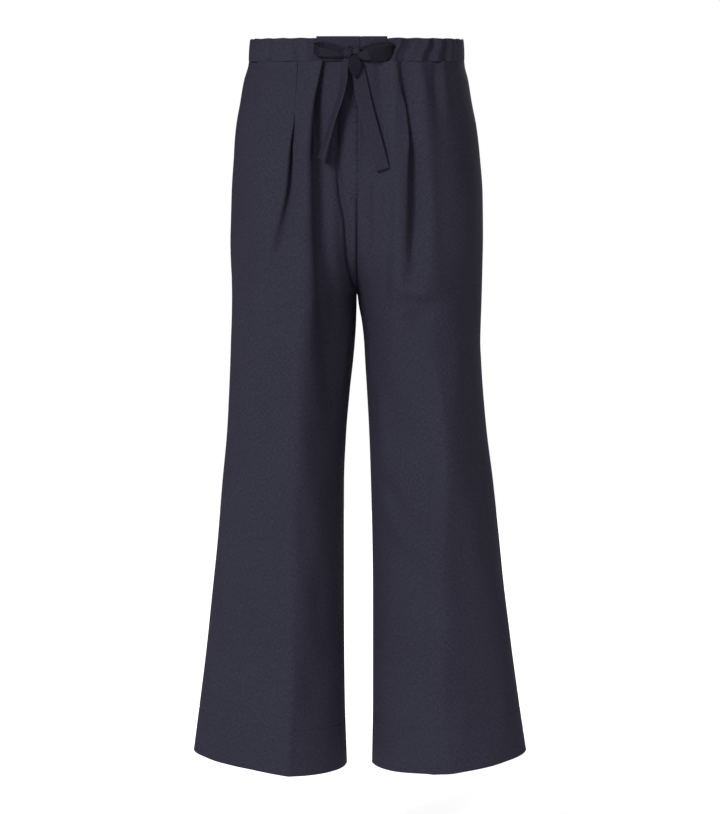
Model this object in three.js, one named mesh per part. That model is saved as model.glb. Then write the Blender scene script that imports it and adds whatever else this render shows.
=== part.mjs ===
// Wide-leg trousers with a self-tied drawstring waist, filled out as when worn and hollow inside.
// Millimetres, +Z up, and the wearer faces -Y, so the wearer's right leg lies on the -X side.
// The origin is the middle of the waist, at half the height of the waistband, where a wearer holds them.
// Heights in the tables are given as "down": the distance below the waist's top edge.
import * as THREE from 'three';

// Driving dimensions
const bandHeight = 34;        // waistband, top edge to seam
const waistTop = bandHeight / 2;
const crotchDown = 362;       // front rise with the band, measured straight down
const outseam = 1052;         // waist's top edge to the hem, straight down at the middle of a leg
const hemTilt = 10;           // the hem is this much higher at the side seam than at mid-leg
const seamGap = 0.3;          // between pieces sewn together
const clothWall = 1.2;        // worsted wool with its seam allowances
const bandWall = 2.4;         // folded casing of the waistband
const casingDrop = 2.2;       // the gathered casing's top edge is this much below the flat centre front's
const inseamDepth = 8;        // how far behind the middle the crotch point and inseams lie
const flyWidth = 25;
const flyBottom = 222;        // down to the end of the fly's J-shaped stitching
const flyLift = 0.6;          // the fly's underside off the front's face
const tapeWidth = 20;         // drawstring, a flat tape of the same cloth
const tapeWall = 1.6;

// Number rows under their column names
function table(names, rows) {
  const columns = names.split(' ');
  return rows.map((row) => Object.fromEntries(columns.map((name, i) => [name, row[i]])));
}

// Half widths at the side seam and the inner edge of each leg, from the photo's outline. Above the crotch
// the inner edge is negative: the leg's round section runs on past the centre, where the other leg cuts it.
const outline = table('down outRight outLeft inRight inLeft', [
  [0, 150.0, 149.7, -260, -260],
  [34, 152.6, 151.3, -250, -250],
  [60, 160.0, 157.5, -240, -240],
  [90, 165.2, 162.6, -225, -225],
  [125, 170.6, 169.5, -205, -205],
  [165, 174.8, 174.7, -175, -175],
  [220, 179.0, 179.4, -118, -118],
  [285, 180.4, 180.4, -48, -48],
  [322, 180.0, 179.8, -18, -18],
  [345, 179.6, 179.2, -5, -5],
  [362, 179.6, 178.6, 0.2, 0.2],
  [378, 179.9, 178.1, 0.5, 2.4],
  [402, 180.6, 177.6, 1.2, 7.0],
  [430, 181.8, 177.6, 3.0, 10.1],
  [460, 182.8, 179.2, 5.8, 11.8],
  [500, 184.6, 181.9, 10.4, 14.3],
  [560, 188.2, 187.4, 15.6, 17.6],
  [640, 195.8, 198.0, 19.0, 20.4],
  [720, 203.0, 207.2, 19.2, 22.4],
  [800, 211.6, 215.8, 19.2, 23.3],
  [880, 220.4, 226.0, 18.9, 23.4],
  [960, 230.3, 237.2, 18.0, 23.4],
  [1052, 242.6, 251.0, 15.0, 22.1],
]);

// Depths of the filled-out form: front, back and side seam, and x of the foremost and rearmost lines
const depths = table('down front back side crestRight crestLeft seat', [
  [0, -101, 99, 4, 16, 16, 16],
  [34, -104, 105, 5, 20, 20, 20],
  [90, -111, 118, 6, 34, 34, 40],
  [150, -117, 127, 7, 50, 50, 56],
  [220, -120, 132, 8, 64, 64, 70],
  [285, -119, 130, 8, 75, 75, 82],
  [362, -115, 123, 8, 84, 84, 92],
  [430, -109, 115, 8, 84, 99, 97],
  [520, -102, 107, 8, 82, 120, 102],
  [640, -92, 98, 8, 85, 124, 108],
  [760, -86, 92, 8, 88, 122, 114],
  [880, -82, 88, 8, 92, 121, 122],
  [960, -80, 85, 8, 95, 125, 128],
  [1052, -79, 83, 8, 98, 136, 134],
]);

// How sharply each leg is pressed along its foremost and rearmost line below the crotch, where 1 is round
const pressed = { front: 1.35, back: 1.2 };

// Rows of the four leg panels, closer together where the crotch seam curves under
const panelRows = [34, 56, 80, 104, 128, 152, 178, 200, 222, 248, 274, 300, 322, 340, 352, 359, 362,
  372, 388, 412, 444, 482, 526, 574, 626, 682, 740, 800, 862, 926, 990, 1052];

// Knife pleats in the fronts. x is the fold's edge from the centre, turn the angle the cloth bends
// through at each fold, lip the length of that bend and under the length laid back beneath.
const pleats = {
  outerRight: { opensTo: 'centre', rise: 44, recover: 30, path: table('down x turn lip under', [
    [34, 84, 180, 3.2, 9],
    [80, 86, 180, 3.2, 8],
    [115, 88.6, 165, 3.6, 6],
    [140, 89.5, 120, 4.6, 4.6],
    [165, 91, 92, 5.4, 3.6],
    [205, 94.5, 78, 6, 3.2],
    [240, 101, 60, 6.8, 3.6],
    [275, 109, 42, 8.4, 4.4],
    [330, 123, 18, 11, 7],
    [400, 127, 3, 14, 9],
    [520, 130, 0, 17, 11],
    [760, 140, 0, 19, 13],
    [1052, 158, 0, 21, 14],
  ]) },
  innerRight: { opensTo: 'centre', rise: 34, recover: 25, path: table('down x turn lip under', [
    [34, 54, 180, 3.3, 12],
    [72, 61.5, 180, 3.5, 11],
    [100, 67, 160, 4.4, 8.5],
    [125, 66.6, 118, 6.4, 6],
    [160, 64, 86, 9.2, 3.4],
    [205, 62.5, 74, 10, 3],
    [265, 58, 64, 10.4, 3.4],
    [330, 50.5, 52, 10, 3.6],
    [372, 40, 42, 10.5, 4],
    [415, 32, 28, 11.5, 5],
    [460, 29, 14, 12.5, 6],
    [520, 31, 4, 13, 7],
    [620, 36, 0, 14, 8],
    [1052, 52, 0, 18, 12],
  ]) },
  left: { opensTo: 'side', rise: 26, recover: 22, path: table('down x turn lip under', [
    [34, 55.5, 84, 3.8, 2.4],
    [72, 58.8, 140, 3.5, 3.4],
    [100, 63, 174, 3.3, 5.4],
    [140, 67.4, 164, 3.8, 5.6],
    [165, 68.6, 130, 4.6, 4.6],
    [200, 70, 98, 6.2, 3.6],
    [240, 69, 76, 7.6, 3.6],
    [290, 67, 60, 8.6, 4],
    [335, 66.5, 40, 9.6, 5],
    [385, 67, 18, 12, 8],
    [450, 72, 3, 16, 11],
    [560, 84, 0, 20, 14],
    [1052, 112, 0, 26, 18],
  ]) },
};

// Soft troughs and ridges: points along each fold, its height off the cloth and its half width
const fold = (rows) => table('x down lift wide', rows);
const softFolds = {
  frontRight: [
    fold([[27, 70, 0, 7], [25.5, 110, -2.6, 7], [23.5, 185, -4.2, 8], [17, 245, -5, 9], [12, 300, -4, 9],
      [9, 350, 0, 9]]),
    fold([[38, 110, 0, 8], [36, 190, 2.4, 9], [32, 270, 3, 8], [24, 330, 1.6, 8], [18, 370, 0, 8]]),
    fold([[90, 210, 0, 14], [96, 280, 3, 18], [102, 345, 6, 22], [103, 372, 5, 20], [104, 410, 0, 18]]),
    fold([[82, 380, 0, 18], [84, 480, 3, 24], [90, 700, 4, 28], [94, 900, 4, 30], [98, 1052, 3, 30]]),
    fold([[160, 690, 0, 12], [170, 790, -3, 15], [176, 900, -3.4, 16], [182, 990, 0, 14]]),
    fold([[126, 60, 0, 10], [130, 110, 1.6, 12], [134, 200, 1.6, 14], [138, 280, 0, 14]]),
  ],
  frontLeft: [
    fold([[31, 34, -2, 6], [31, 60, -2.6, 7], [35, 100, -1.2, 8], [38, 140, 0, 8]]),
    fold([[46, 34, 2.4, 6], [47, 70, 3, 7], [49, 150, 2.4, 8], [55, 260, 2.6, 9], [58, 330, 2.4, 10],
      [58, 400, 0, 10]]),
    fold([[28, 170, 0, 6], [23, 235, -2.8, 6], [25, 262, -2.8, 6], [23, 310, -2.4, 7], [20, 350, 0, 7]]),
    fold([[82, 34, 2, 7], [86, 70, 3.6, 9], [93, 150, 3.6, 12], [97, 260, 4.4, 14], [100, 325, 4, 15],
      [98, 372, 0, 14]]),
    fold([[102, 34, -2, 5], [104, 70, -2.8, 6], [108, 120, -1.4, 8], [112, 160, 0, 8]]),
    fold([[112, 34, 1.6, 5], [118, 80, 2.2, 7], [126, 130, 0, 8]]),
    fold([[82, 362, 0, 18], [90, 398, -5, 22], [96, 435, -3, 24], [104, 480, 0, 22]]),
    fold([[30, 590, 0, 10], [44, 634, -3.2, 11], [66, 672, -4.4, 12], [92, 686, -3.4, 11],
      [114, 688, 0, 10]]),
    fold([[26, 620, 0, 12], [44, 664, 2.8, 13], [66, 702, 4, 14], [92, 716, 2.8, 13],
      [112, 718, 0, 12]]),
    fold([[108, 915, 0, 12], [96, 946, -2.4, 14], [66, 982, -3, 15], [36, 1008, -1, 14]]),
    fold([[124, 420, 0, 18], [126, 560, 3.2, 22], [124, 760, 3.4, 24], [122, 900, 2.6, 24],
      [130, 1000, 0, 24]]),
  ],
  backRight: [
    fold([[14, 34, 1.6, 5], [15, 70, 1.6, 7], [18, 120, 0, 8]]),
    fold([[44, 34, 2, 6], [46, 80, 2.2, 8], [50, 150, 0, 10]]),
    fold([[78, 34, 1.8, 6], [81, 76, 1.8, 8], [84, 120, 0, 9]]),
    fold([[112, 34, 2, 6], [118, 84, 2, 8], [124, 140, 0, 10]]),
    fold([[24, 330, 0, 10], [52, 372, -4, 13], [92, 410, -3.2, 15], [132, 430, 0, 14]]),
    fold([[34, 400, 0, 12], [62, 446, -3, 14], [100, 474, 0, 15]]),
    fold([[44, 610, 0, 12], [78, 640, -3.2, 14], [122, 652, 0, 14]]),
    fold([[98, 470, 0, 22], [104, 640, 3, 26], [116, 860, 3.4, 28], [130, 1052, 2.6, 30]]),
    fold([[70, 900, 0, 14], [92, 960, -2.6, 16], [120, 1000, 0, 16]]),
  ],
  backLeft: [
    fold([[18, 34, 1.8, 5], [20, 78, 1.8, 7], [22, 110, 0, 8]]),
    fold([[52, 34, 2.2, 6], [56, 90, 2.2, 9], [60, 165, 0, 10]]),
    fold([[90, 34, 1.6, 6], [94, 74, 1.6, 8], [96, 130, 0, 9]]),
    fold([[122, 34, 1.8, 6], [127, 80, 1.8, 8], [131, 128, 0, 9]]),
    fold([[22, 322, 0, 10], [48, 358, -3.6, 12], [84, 396, -3.6, 15], [120, 426, 0, 14]]),
    fold([[38, 420, 0, 12], [72, 462, -2.8, 14], [116, 486, 0, 15]]),
    fold([[52, 640, 0, 12], [88, 668, -3.4, 14], [130, 676, 0, 14]]),
    fold([[100, 480, 0, 22], [108, 660, 3, 26], [120, 860, 3.2, 28], [136, 1052, 2.6, 30]]),
    fold([[60, 880, 0, 14], [86, 934, -2.6, 16], [112, 966, 0, 16]]),
  ],
};

const clamp = (value, low, high) => Math.min(high, Math.max(low, value));
const mix = (a, b, t) => a + (b - a) * t;
const radians = (degrees) => (degrees * Math.PI) / 180;

function smoothStep(from, to, value) {
  const t = clamp((value - from) / (to - from), 0, 1);
  return t * t * (3 - 2 * t);
}

// One named column of a table at any distance down, as a smooth curve that never overshoots its rows
function valueAt(rows, name, down) {
  const last = rows.length - 1;
  if (down <= rows[0].down) return rows[0][name];
  if (down >= rows[last].down) return rows[last][name];
  const i = rows.findIndex((row) => row.down > down) - 1;
  const slope = (k) => (rows[k + 1][name] - rows[k][name]) / (rows[k + 1].down - rows[k].down);
  const tangent = (k) => {
    if (k === 0) return slope(0);
    if (k === last) return slope(last - 1);
    const [before, after] = [slope(k - 1), slope(k)];
    return before * after <= 0 ? 0 : (2 * before * after) / (before + after);
  };
  const span = rows[i + 1].down - rows[i].down;
  const t = (down - rows[i].down) / span;
  const [t2, t3] = [t * t, t * t * t];
  return (2 * t3 - 3 * t2 + 1) * rows[i][name] + (t3 - 2 * t2 + t) * span * tangent(i)
    + (3 * t2 - 2 * t3) * rows[i + 1][name] + (t3 - t2) * span * tangent(i + 1);
}

// Height of a point at distance x from the centre: below the crotch the rows tilt with the leg
function heightAt(side, x, down) {
  const out = valueAt(outline, `out${side}`, down);
  const inner = Math.max(0, valueAt(outline, `in${side}`, down));
  const tilt = hemTilt * clamp((down - crotchDown) / (outseam - crotchDown), 0, 1);
  return waistTop - down + (tilt * (2 * x - out - inner)) / (out - inner);
}

// Horizontal line of one leg's front or back, from the side seam to the centre seam or inseam.
// x is the distance from the centre, the same for both legs, and a leg's side is applied at the end.
const sectionSteps = 90;
const sectionCache = new Map();
function sectionLine(side, face, down) {
  const key = `${side} ${face} ${down}`;
  if (sectionCache.has(key)) return sectionCache.get(key);
  const out = valueAt(outline, `out${side}`, down) - clothWall / 2;
  const inner = valueAt(outline, `in${side}`, down) + clothWall / 2;
  const closeToCentre = seamGap / 2 + (clothWall / 2) * smoothStep(180, 300, down);
  const crest = valueAt(depths, face === 'front' ? `crest${side}` : 'seat', down);
  const depth = valueAt(depths, face, down);
  const sideDepth = valueAt(depths, 'side', down);
  const centreX = Math.max(closeToCentre, inner);
  const roundness = mix(0.9, 1, smoothStep(200, 500, down));
  const pressing = smoothStep(200, 560, down);
  const [outerPress, innerPress] = [mix(0.9, pressed[face], pressing), mix(1, pressed[face], pressing)];
  const lastAngle = Math.asin(((crest - centreX) / (crest - inner)) ** (1 / innerPress));
  const points = [];
  for (let i = 0; i < sectionSteps; i++) {
    const angle = (i / sectionSteps) * (Math.PI / 2);
    points.push([crest + (out - crest) * Math.cos(angle) ** outerPress,
      sideDepth + (depth - sideDepth) * Math.sin(angle) ** roundness]);
  }
  for (let i = 0; i <= sectionSteps; i++) {
    const angle = (i / sectionSteps) * lastAngle;
    points.push([crest - (crest - inner) * Math.sin(angle) ** innerPress,
      depth + (inseamDepth - depth) * (1 - Math.cos(angle))]);
  }
  const lengths = [0];
  for (let i = 1; i < points.length; i++) {
    const [a, b] = [points[i - 1], points[i]];
    lengths.push(lengths[i - 1] + Math.hypot(b[0] - a[0], b[1] - a[1]));
  }
  const line = { points, lengths, total: lengths[lengths.length - 1], out, centreX };
  sectionCache.set(key, line);
  return line;
}

// Place and outward direction on a section line, at a distance s along it from the side seam
function placeOn(line, face, s) {
  const { points, lengths } = line;
  const last = points.length - 2;
  let i = 0;
  while (i < last && lengths[i + 1] < s) i++;
  const t = (s - lengths[i]) / (lengths[i + 1] - lengths[i] || 1);
  const before = points[Math.max(0, i - 1)];
  const after = points[Math.min(last + 1, i + 2)];
  const run = Math.hypot(after[0] - before[0], after[1] - before[1]);
  const [alongX, alongY] = [(after[0] - before[0]) / run, (after[1] - before[1]) / run];
  const sign = face === 'front' ? 1 : -1;
  return {
    x: mix(points[i][0], points[i + 1][0], t),
    y: mix(points[i][1], points[i + 1][1], t),
    outX: -alongY * sign,
    outY: alongX * sign,
  };
}

// Distance along a section line at which it lies x from the centre
function lengthAtX(line, x) {
  const { points, lengths } = line;
  const found = points.findIndex((point) => point[0] <= x);
  const i = found < 0 ? points.length - 1 : Math.max(1, found);
  const t = (points[i - 1][0] - x) / (points[i - 1][0] - points[i][0] || 1);
  return mix(lengths[i - 1], lengths[i], clamp(t, 0, 1));
}

// How far the soft folds lift the cloth at a point of a panel
function softLift(folds, x, down) {
  let lift = 0;
  for (const points of folds) {
    let best = { distance: Infinity };
    for (let i = 0; i + 1 < points.length; i++) {
      const [a, b] = [points[i], points[i + 1]];
      const [dx, dd] = [b.x - a.x, b.down - a.down];
      const t = clamp(((x - a.x) * dx + (down - a.down) * dd) / (dx * dx + dd * dd), 0, 1);
      const distance = Math.hypot(x - a.x - t * dx, down - a.down - t * dd);
      if (distance < best.distance) best = { distance, a, b, t: smoothStep(0, 1, t) };
    }
    const wide = mix(best.a.wide, best.b.wide, best.t);
    lift += mix(best.a.lift, best.b.lift, best.t) * Math.exp(-((best.distance / wide) ** 2));
  }
  return lift;
}

// Side view of a knife pleat: [distance along, height] points through both of its bends, middle at 0
function pleatCurve(row, opensTo) {
  const turn = radians(row.turn);
  const bend = [0.5, 1.5, 2.5, 3.5].map((step) => [(turn * step) / 4, row.lip / 4]);
  const headings = [...bend, [turn, row.under], ...bend.reverse()];
  let [along, height] = [0, 0];
  const points = [[0, 0]];
  for (const [heading, length] of headings) {
    along += length * Math.cos(heading);
    height -= length * Math.sin(heading);
    points.push([along, height]);
  }
  const centred = points.map(([a, h]) => [a - along / 2, h - height / 2]);
  return opensTo === 'centre' ? centred : centred.reverse().map(([a, h]) => [-a, h]);
}

const pleatsOf = {
  frontRight: [pleats.outerRight, pleats.innerRight],
  frontLeft: [pleats.left],
  backRight: [],
  backLeft: [],
};
// Columns between the side seam, the pleats and the centre; a back has one plain line in place of pleats
const plainColumns = { frontRight: [5, 3, 7], frontLeft: [7, 10], backRight: [6, 8], backLeft: [6, 8] };
const centreColumns = 4;
const plainLine = 112;

// Distances along a row from one line to the next. The last ones end under the fly's edge columns.
function spacing(from, to, steps, down, endsAtCentre) {
  const even = Array.from({ length: steps + 1 }, (_, i) => mix(from, to, i / steps));
  if (!endsAtCentre) return even;
  const flyEdge = to - flyWidth;
  const before = steps - centreColumns;
  const underFly = (i) => (i <= before ? mix(from, flyEdge, i / before)
    : mix(flyEdge, to, (i - before) / centreColumns));
  return even.map((s, i) => mix(underFly(i), s, smoothStep(flyBottom, 300, down)));
}

// Middle surface of one panel row: points from the side seam to the centre seam or inseam
function panelRow(side, face, down) {
  const name = face + side;
  const line = sectionLine(side, face, down);
  const end = line.total - (down < crotchDown ? 0 : seamGap / 2);
  const curves = pleatsOf[name].map((pleat) => {
    const row = {};
    for (const column of ['x', 'turn', 'lip', 'under']) row[column] = valueAt(pleat.path, column, down);
    const s = lengthAtX(line, row.x);
    return { pleat, points: pleatCurve(row, pleat.opensTo).map(([a, h]) => ({ s: s + a, lift: h })) };
  });
  if (curves.length === 0) curves.push({ pleat: null, points: [{ s: plainLine, lift: 0 }] });
  const reach = (pleat, towardsSide) => {
    if (!pleat) return 1;
    return (pleat.opensTo === 'centre') === towardsSide ? pleat.rise : pleat.recover;
  };
  const fade = (distance, length) => Math.cos((Math.PI / 2) * clamp(distance / length, 0, 1)) ** 2;
  const stations = [{ s: seamGap / 2, lift: 0 }];
  const nextLines = [...curves, { pleat: null, points: [{ s: end, lift: 0 }] }];
  nextLines.forEach((next, zone) => {
    const [from, to] = [stations.at(-1), next.points[0]];
    const [reachFrom, reachTo] = [reach(curves[zone - 1]?.pleat, false), reach(next.pleat, true)];
    const places = spacing(from.s, to.s, plainColumns[name][zone], down, zone === curves.length);
    for (const s of places.slice(1, -1)) {
      stations.push({ s, lift: from.lift * fade(s - from.s, reachFrom) + to.lift * fade(to.s - s, reachTo) });
    }
    stations.push(...next.points);
  });
  return stations.map(({ s, lift }) => {
    const place = placeOn(line, face, s);
    const edge = smoothStep(0, 14, s) * smoothStep(0, 12, line.total - s);
    const total = lift + softLift(softFolds[name], place.x, down) * edge;
    const x = Math.max(line.centreX, place.x + place.outX * total);
    return new THREE.Vector3(x, place.y + place.outY * total, heightAt(side, place.x, down));
  });
}

// Unit normals of a grid of points, from its neighbours along and across
function gridNormals(grid) {
  const [rows, columns] = [grid.length, grid[0].length];
  return grid.map((row, r) => row.map((_, c) => {
    const across = grid[r][Math.min(columns - 1, c + 1)].clone().sub(grid[r][Math.max(0, c - 1)]);
    const downward = grid[Math.min(rows - 1, r + 1)][c].clone().sub(grid[Math.max(0, r - 1)][c]);
    return across.cross(downward).normalize();
  }));
}

// Closed wall between two grids of the same layout, its faces turned outward
function wallGeometry(outer, inner) {
  const [rows, columns] = [outer.length, outer[0].length];
  const points = [...outer.flat(), ...inner.flat()];
  const id = (layer, r, c) => layer * rows * columns + r * columns + c;
  const triangles = [];
  const quad = (a, b, c, d) => triangles.push([a, b, c], [a, c, d]);
  for (let r = 0; r + 1 < rows; r++) {
    for (let c = 0; c + 1 < columns; c++) {
      quad(id(0, r, c), id(0, r + 1, c), id(0, r + 1, c + 1), id(0, r, c + 1));
      quad(id(1, r, c), id(1, r, c + 1), id(1, r + 1, c + 1), id(1, r + 1, c));
    }
    quad(id(0, r, 0), id(1, r, 0), id(1, r + 1, 0), id(0, r + 1, 0));
    quad(id(0, r, columns - 1), id(0, r + 1, columns - 1), id(1, r + 1, columns - 1), id(1, r, columns - 1));
  }
  for (let c = 0; c + 1 < columns; c++) {
    quad(id(0, 0, c), id(0, 0, c + 1), id(1, 0, c + 1), id(1, 0, c));
    quad(id(0, rows - 1, c), id(1, rows - 1, c), id(1, rows - 1, c + 1), id(0, rows - 1, c + 1));
  }
  const volume = triangles.reduce((sum, [a, b, c]) =>
    sum + points[a].dot(new THREE.Vector3().crossVectors(points[b], points[c])), 0);
  if (volume < 0) triangles.forEach((triangle) => triangle.reverse());
  const geometry = new THREE.BufferGeometry();
  geometry.setAttribute('position', new THREE.Float32BufferAttribute(points.flatMap((p) => p.toArray()), 3));
  geometry.setIndex(triangles.flat());
  geometry.computeVertexNormals();
  return geometry;
}

const sideSign = { Right: -1, Left: 1 };
const mirrored = (grid, side) => grid.map((row) =>
  row.map((point) => new THREE.Vector3(point.x * sideSign[side], point.y, point.z)));

// Outer and inner surface of a leg panel. At its seams the wall ends square to the neighbouring piece.
function panelSurfaces(side, face) {
  const middle = panelRows.map((down) => panelRow(side, face, down));
  middle[0].forEach((point) => { point.z -= seamGap; });
  const normals = gridNormals(middle);
  const outwardSign = face === 'front' ? 1 : -1;
  const last = middle[0].length - 1;
  const shifted = (sign) => middle.map((row, r) => row.map((point, c) => {
    const normal = normals[r][c].clone().multiplyScalar(outwardSign);
    if (c === 0 || (c === last && panelRows[r] >= crotchDown - 4)) normal.setY(0).normalize();
    if (r === 0 || r === middle.length - 1) normal.setZ(0).normalize();
    const moved = point.clone().addScaledVector(normal, (sign * clothWall) / 2);
    moved.x = Math.max(seamGap / 2, moved.x);
    return moved;
  }));
  return { outer: shifted(1), inner: shifted(-1) };
}

// Each panel is cut across into solids of about the same height, so that each stays a simple curved shell
const stretches = table('name from to', [
  ['hip', 34, 274], ['thigh', 274, 526], ['knee', 526, 800], ['hem', 800, outseam],
]);
function stretchOf(grid, { from, to }) {
  const [first, last] = [panelRows.indexOf(from), panelRows.indexOf(to)];
  const upOrDown = (r) => (r === first && first > 0 ? -1 : 0) + (r === last && to < outseam ? 1 : 0);
  return grid.slice(first, last + 1).map((row, i) =>
    row.map(({ x, y, z }) => new THREE.Vector3(x, y, z + (upOrDown(first + i) * seamGap) / 2)));
}

// Fly: a J-shaped panel laid on the wearer's right front, from that panel's points moved out
function flyGeometry(panel) {
  const edgeAt = (down) => flyWidth * Math.sqrt(1 - (0.93 * smoothStep(178, flyBottom, down)) ** 2);
  const rows = panelRows.map((down, r) => ({ down, r })).filter(({ down }) => down <= flyBottom);
  const onPanel = rows.map(({ down, r }) => {
    const row = panel.outer[r].slice(-centreColumns - 1);
    const share = edgeAt(down) / flyWidth;
    return row.map(({ x }) => {
      const target = Math.max(seamGap / 2, x * share);
      const found = row.findIndex((point) => point.x <= target);
      const k = found < 0 ? row.length - 1 : Math.max(1, found);
      return row[k - 1].clone().lerp(row[k], (row[k - 1].x - target) / (row[k - 1].x - row[k].x));
    });
  });
  const lifted = (distance) => mirrored(onPanel.map((row) =>
    row.map((point) => point.clone().setY(point.y - distance))), 'Right');
  return wallGeometry(lifted(flyLift + clothWall), lifted(flyLift));
}

// Waistband ring: the plan line of the waist at one height, and gathers that the drawstring pulls in it
const bandGathers = table('x lean lift wide', [
  [-133, 0, 1.3, 5], [-112, 1, -1, 6], [-88, 0, 1.5, 4], [-79, 2, -1.2, 4], [-68, 3, 1.6, 4],
  [50, -9, 2.0, 4], [58, -8, -1.4, 4], [66, -4, 1.1, 4], [84, -9, 2.0, 5], [95, -6, -1.5, 4],
  [105, -2, 1.7, 4], [120, -2, -1.1, 5], [131, 0, 1.4, 5],
]);

function waistPlace(angle, down) {
  const face = Math.cos(angle) > 0 ? 'front' : 'back';
  const side = Math.sin(angle) < 0 ? 'Right' : 'Left';
  const line = sectionLine(side, face, down);
  const share = Math.abs(Math.asin(Math.sin(angle))) / (Math.PI / 2);
  const place = placeOn(line, face, line.total * (1 - share));
  return { ...place, x: place.x * sideSign[side], outX: place.outX * sideSign[side], face };
}

function bandLift(place, angle, down) {
  const height = down / bandHeight;
  if (place.face === 'front') {
    return bandGathers.reduce((sum, gather) => {
      const middle = gather.x + gather.lean * (height - 0.5);
      return sum + gather.lift * Math.exp(-(((place.x - middle) / gather.wide) ** 2));
    }, 0);
  }
  const wave = Math.sin(angle * 23 + 1.4 * Math.sin(angle * 5)) * (0.8 + 0.4 * Math.sin(angle * 3 + 1));
  return 1.5 * wave * smoothStep(0, 0.35, Math.abs(Math.abs(angle) - Math.PI / 2));
}

// A stretch of the waistband between two angles round the waist, 0 at the centre front
function bandGeometry(fromAngle, toAngle, steps, topDown) {
  const downs = [topDown, mix(topDown, bandHeight, 0.5), bandHeight];
  const surface = (sign) => downs.map((down) => Array.from({ length: steps + 1 }, (_, i) => {
    const angle = mix(fromAngle, toAngle, i / steps);
    const place = waistPlace(angle, down);
    const fade = smoothStep(0, 0.06, Math.min(angle - fromAngle, toAngle - angle));
    const lift = bandLift(place, angle, down) * fade + (sign * bandWall) / 2;
    return new THREE.Vector3(place.x + place.outX * lift, place.y + place.outY * lift, waistTop - down);
  }));
  return wallGeometry(surface(1), surface(-1));
}

// Angle round the waist at which the front of the band lies x from the centre
function angleAtX(x) {
  let [low, high] = [-Math.PI / 2, Math.PI / 2];
  for (let i = 0; i < 40; i++) {
    const middle = (low + high) / 2;
    if (waistPlace(middle, bandHeight / 2).x < x) low = middle;
    else high = middle;
  }
  return low;
}

// Depth of the front face of the cloth at a point, before its folds
function faceDepth(x, down) {
  const line = sectionLine(x < 0 ? 'Right' : 'Left', 'front', down);
  return placeOn(line, 'front', lengthAtX(line, Math.abs(x))).y;
}

// Flat tape along a route. Each route row gives its middle, how far it stands off the cloth's face, how
// far it lies open (1 is the whole width) and its turn about its length: 0 lies flat, 90 is edge on.
function tapeGeometry(route, stepsBetween) {
  const curve = new THREE.CatmullRomCurve3(route.map(({ x, down, stand }) =>
    new THREE.Vector3(x, faceDepth(x, down) - stand, waistTop - down)), false, 'centripetal');
  const steps = (route.length - 1) * stepsBetween;
  const middle = Array.from({ length: steps + 1 }, (_, i) => {
    const position = (i / steps) * (route.length - 1);
    const k = Math.min(route.length - 2, Math.floor(position));
    const width = tapeWidth * mix(route[k].open, route[k + 1].open, position - k);
    const turn = radians(mix(route[k].turn, route[k + 1].turn, position - k));
    const centre = curve.getPoint(i / steps);
    const along = curve.getTangent(i / steps);
    const flat = new THREE.Vector3(0, 1, 0).cross(along).normalize();
    const across = flat.applyAxisAngle(along, turn);
    return [-0.5, 0, 0.5].map((share) => centre.clone().addScaledVector(across, share * width));
  });
  const normals = gridNormals(middle);
  const surface = (sign) => middle.map((row, r) =>
    row.map((point, c) => point.clone().addScaledVector(normals[r][c], (sign * tapeWall) / 2)));
  return wallGeometry(surface(1), surface(-1));
}

const tieRoute = (rows) => table('x down stand open turn', rows);
const tailRight = tieRoute([
  [-12.3, 27.6, 7, 0.32, 0], [-16.8, 42, 8.8, 0.62, 44], [-17.8, 60, 12.8, 0.9, 72], [-23, 84, 14, 1, 82],
  [-32, 110, 14, 1, 84], [-40.6, 138, 14.4, 1, 84], [-50.3, 165, 14.6, 0.95, 82],
]);
const tailLeft = tieRoute([
  [-4.4, 27.2, 6.4, 0.38, 0], [1.6, 46, 5.8, 0.85, -2], [6.4, 72, 6, 1, -2], [12.2, 98, 6.6, 1, 0],
  [19.8, 126, 6.8, 1, 4], [27.4, 153, 6.6, 1, 4], [34.6, 180.5, 6, 1, 2],
]);

// Loop of the bow: the tape runs out from the knot in front and comes back close to the band
const loopBulge = 5.2;        // half the depth of a loop
const loopPinch = 0.45;       // share of the tape's width left at the knot
function loopGeometry(knotX, tipX, middleDown, tipWidth) {
  const steps = 14;
  const endAngle = 0.86 * Math.PI;  // the strands stay this far round, so that they never meet
  const middle = Array.from({ length: steps + 1 }, (_, i) => {
    const angle = mix(-endAngle, endAngle, i / steps);
    const out = (Math.cos(angle) - Math.cos(endAngle)) / (1 - Math.cos(endAngle));
    const x = mix(knotX, tipX, out);
    const bulge = loopBulge * Math.sin(angle) * mix(0.55, 1, out);
    const y = faceDepth(knotX, middleDown) - knot.stand + bulge;
    const width = mix(loopPinch * tapeWidth, tipWidth, smoothStep(0, 0.7, out));
    return [-0.5, 0, 0.5].map((share) => new THREE.Vector3(x, y, waistTop - middleDown - share * width));
  });
  const normals = gridNormals(middle);
  const surface = (sign) => middle.map((row, r) =>
    row.map((point, c) => point.clone().addScaledVector(normals[r][c], (sign * tapeWall) / 2)));
  return wallGeometry(surface(1), surface(-1));
}

// Knot of the bow and the short end of its wrap, which hangs as a tongue over the left tail
const knot = { x: -8.5, down: 20.5, width: 12.5, height: 15, depth: 10.5, stand: 7.6 };
const wrapRoute = tieRoute([
  [-6, 26, 11.85, 0.35, 0], [-3.4, 36, 12.8, 0.72, 0], [-2.6, 47, 12.8, 0.78, 0], [-2.2, 58, 11, 0.22, 0],
]);

function knotGeometry() {
  const geometry = new THREE.SphereGeometry(0.5, 16, 10);
  geometry.scale(knot.width, knot.depth, knot.height);
  geometry.translate(knot.x, faceDepth(knot.x, knot.down) - knot.stand, waistTop - knot.down);
  return geometry;
}

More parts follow.
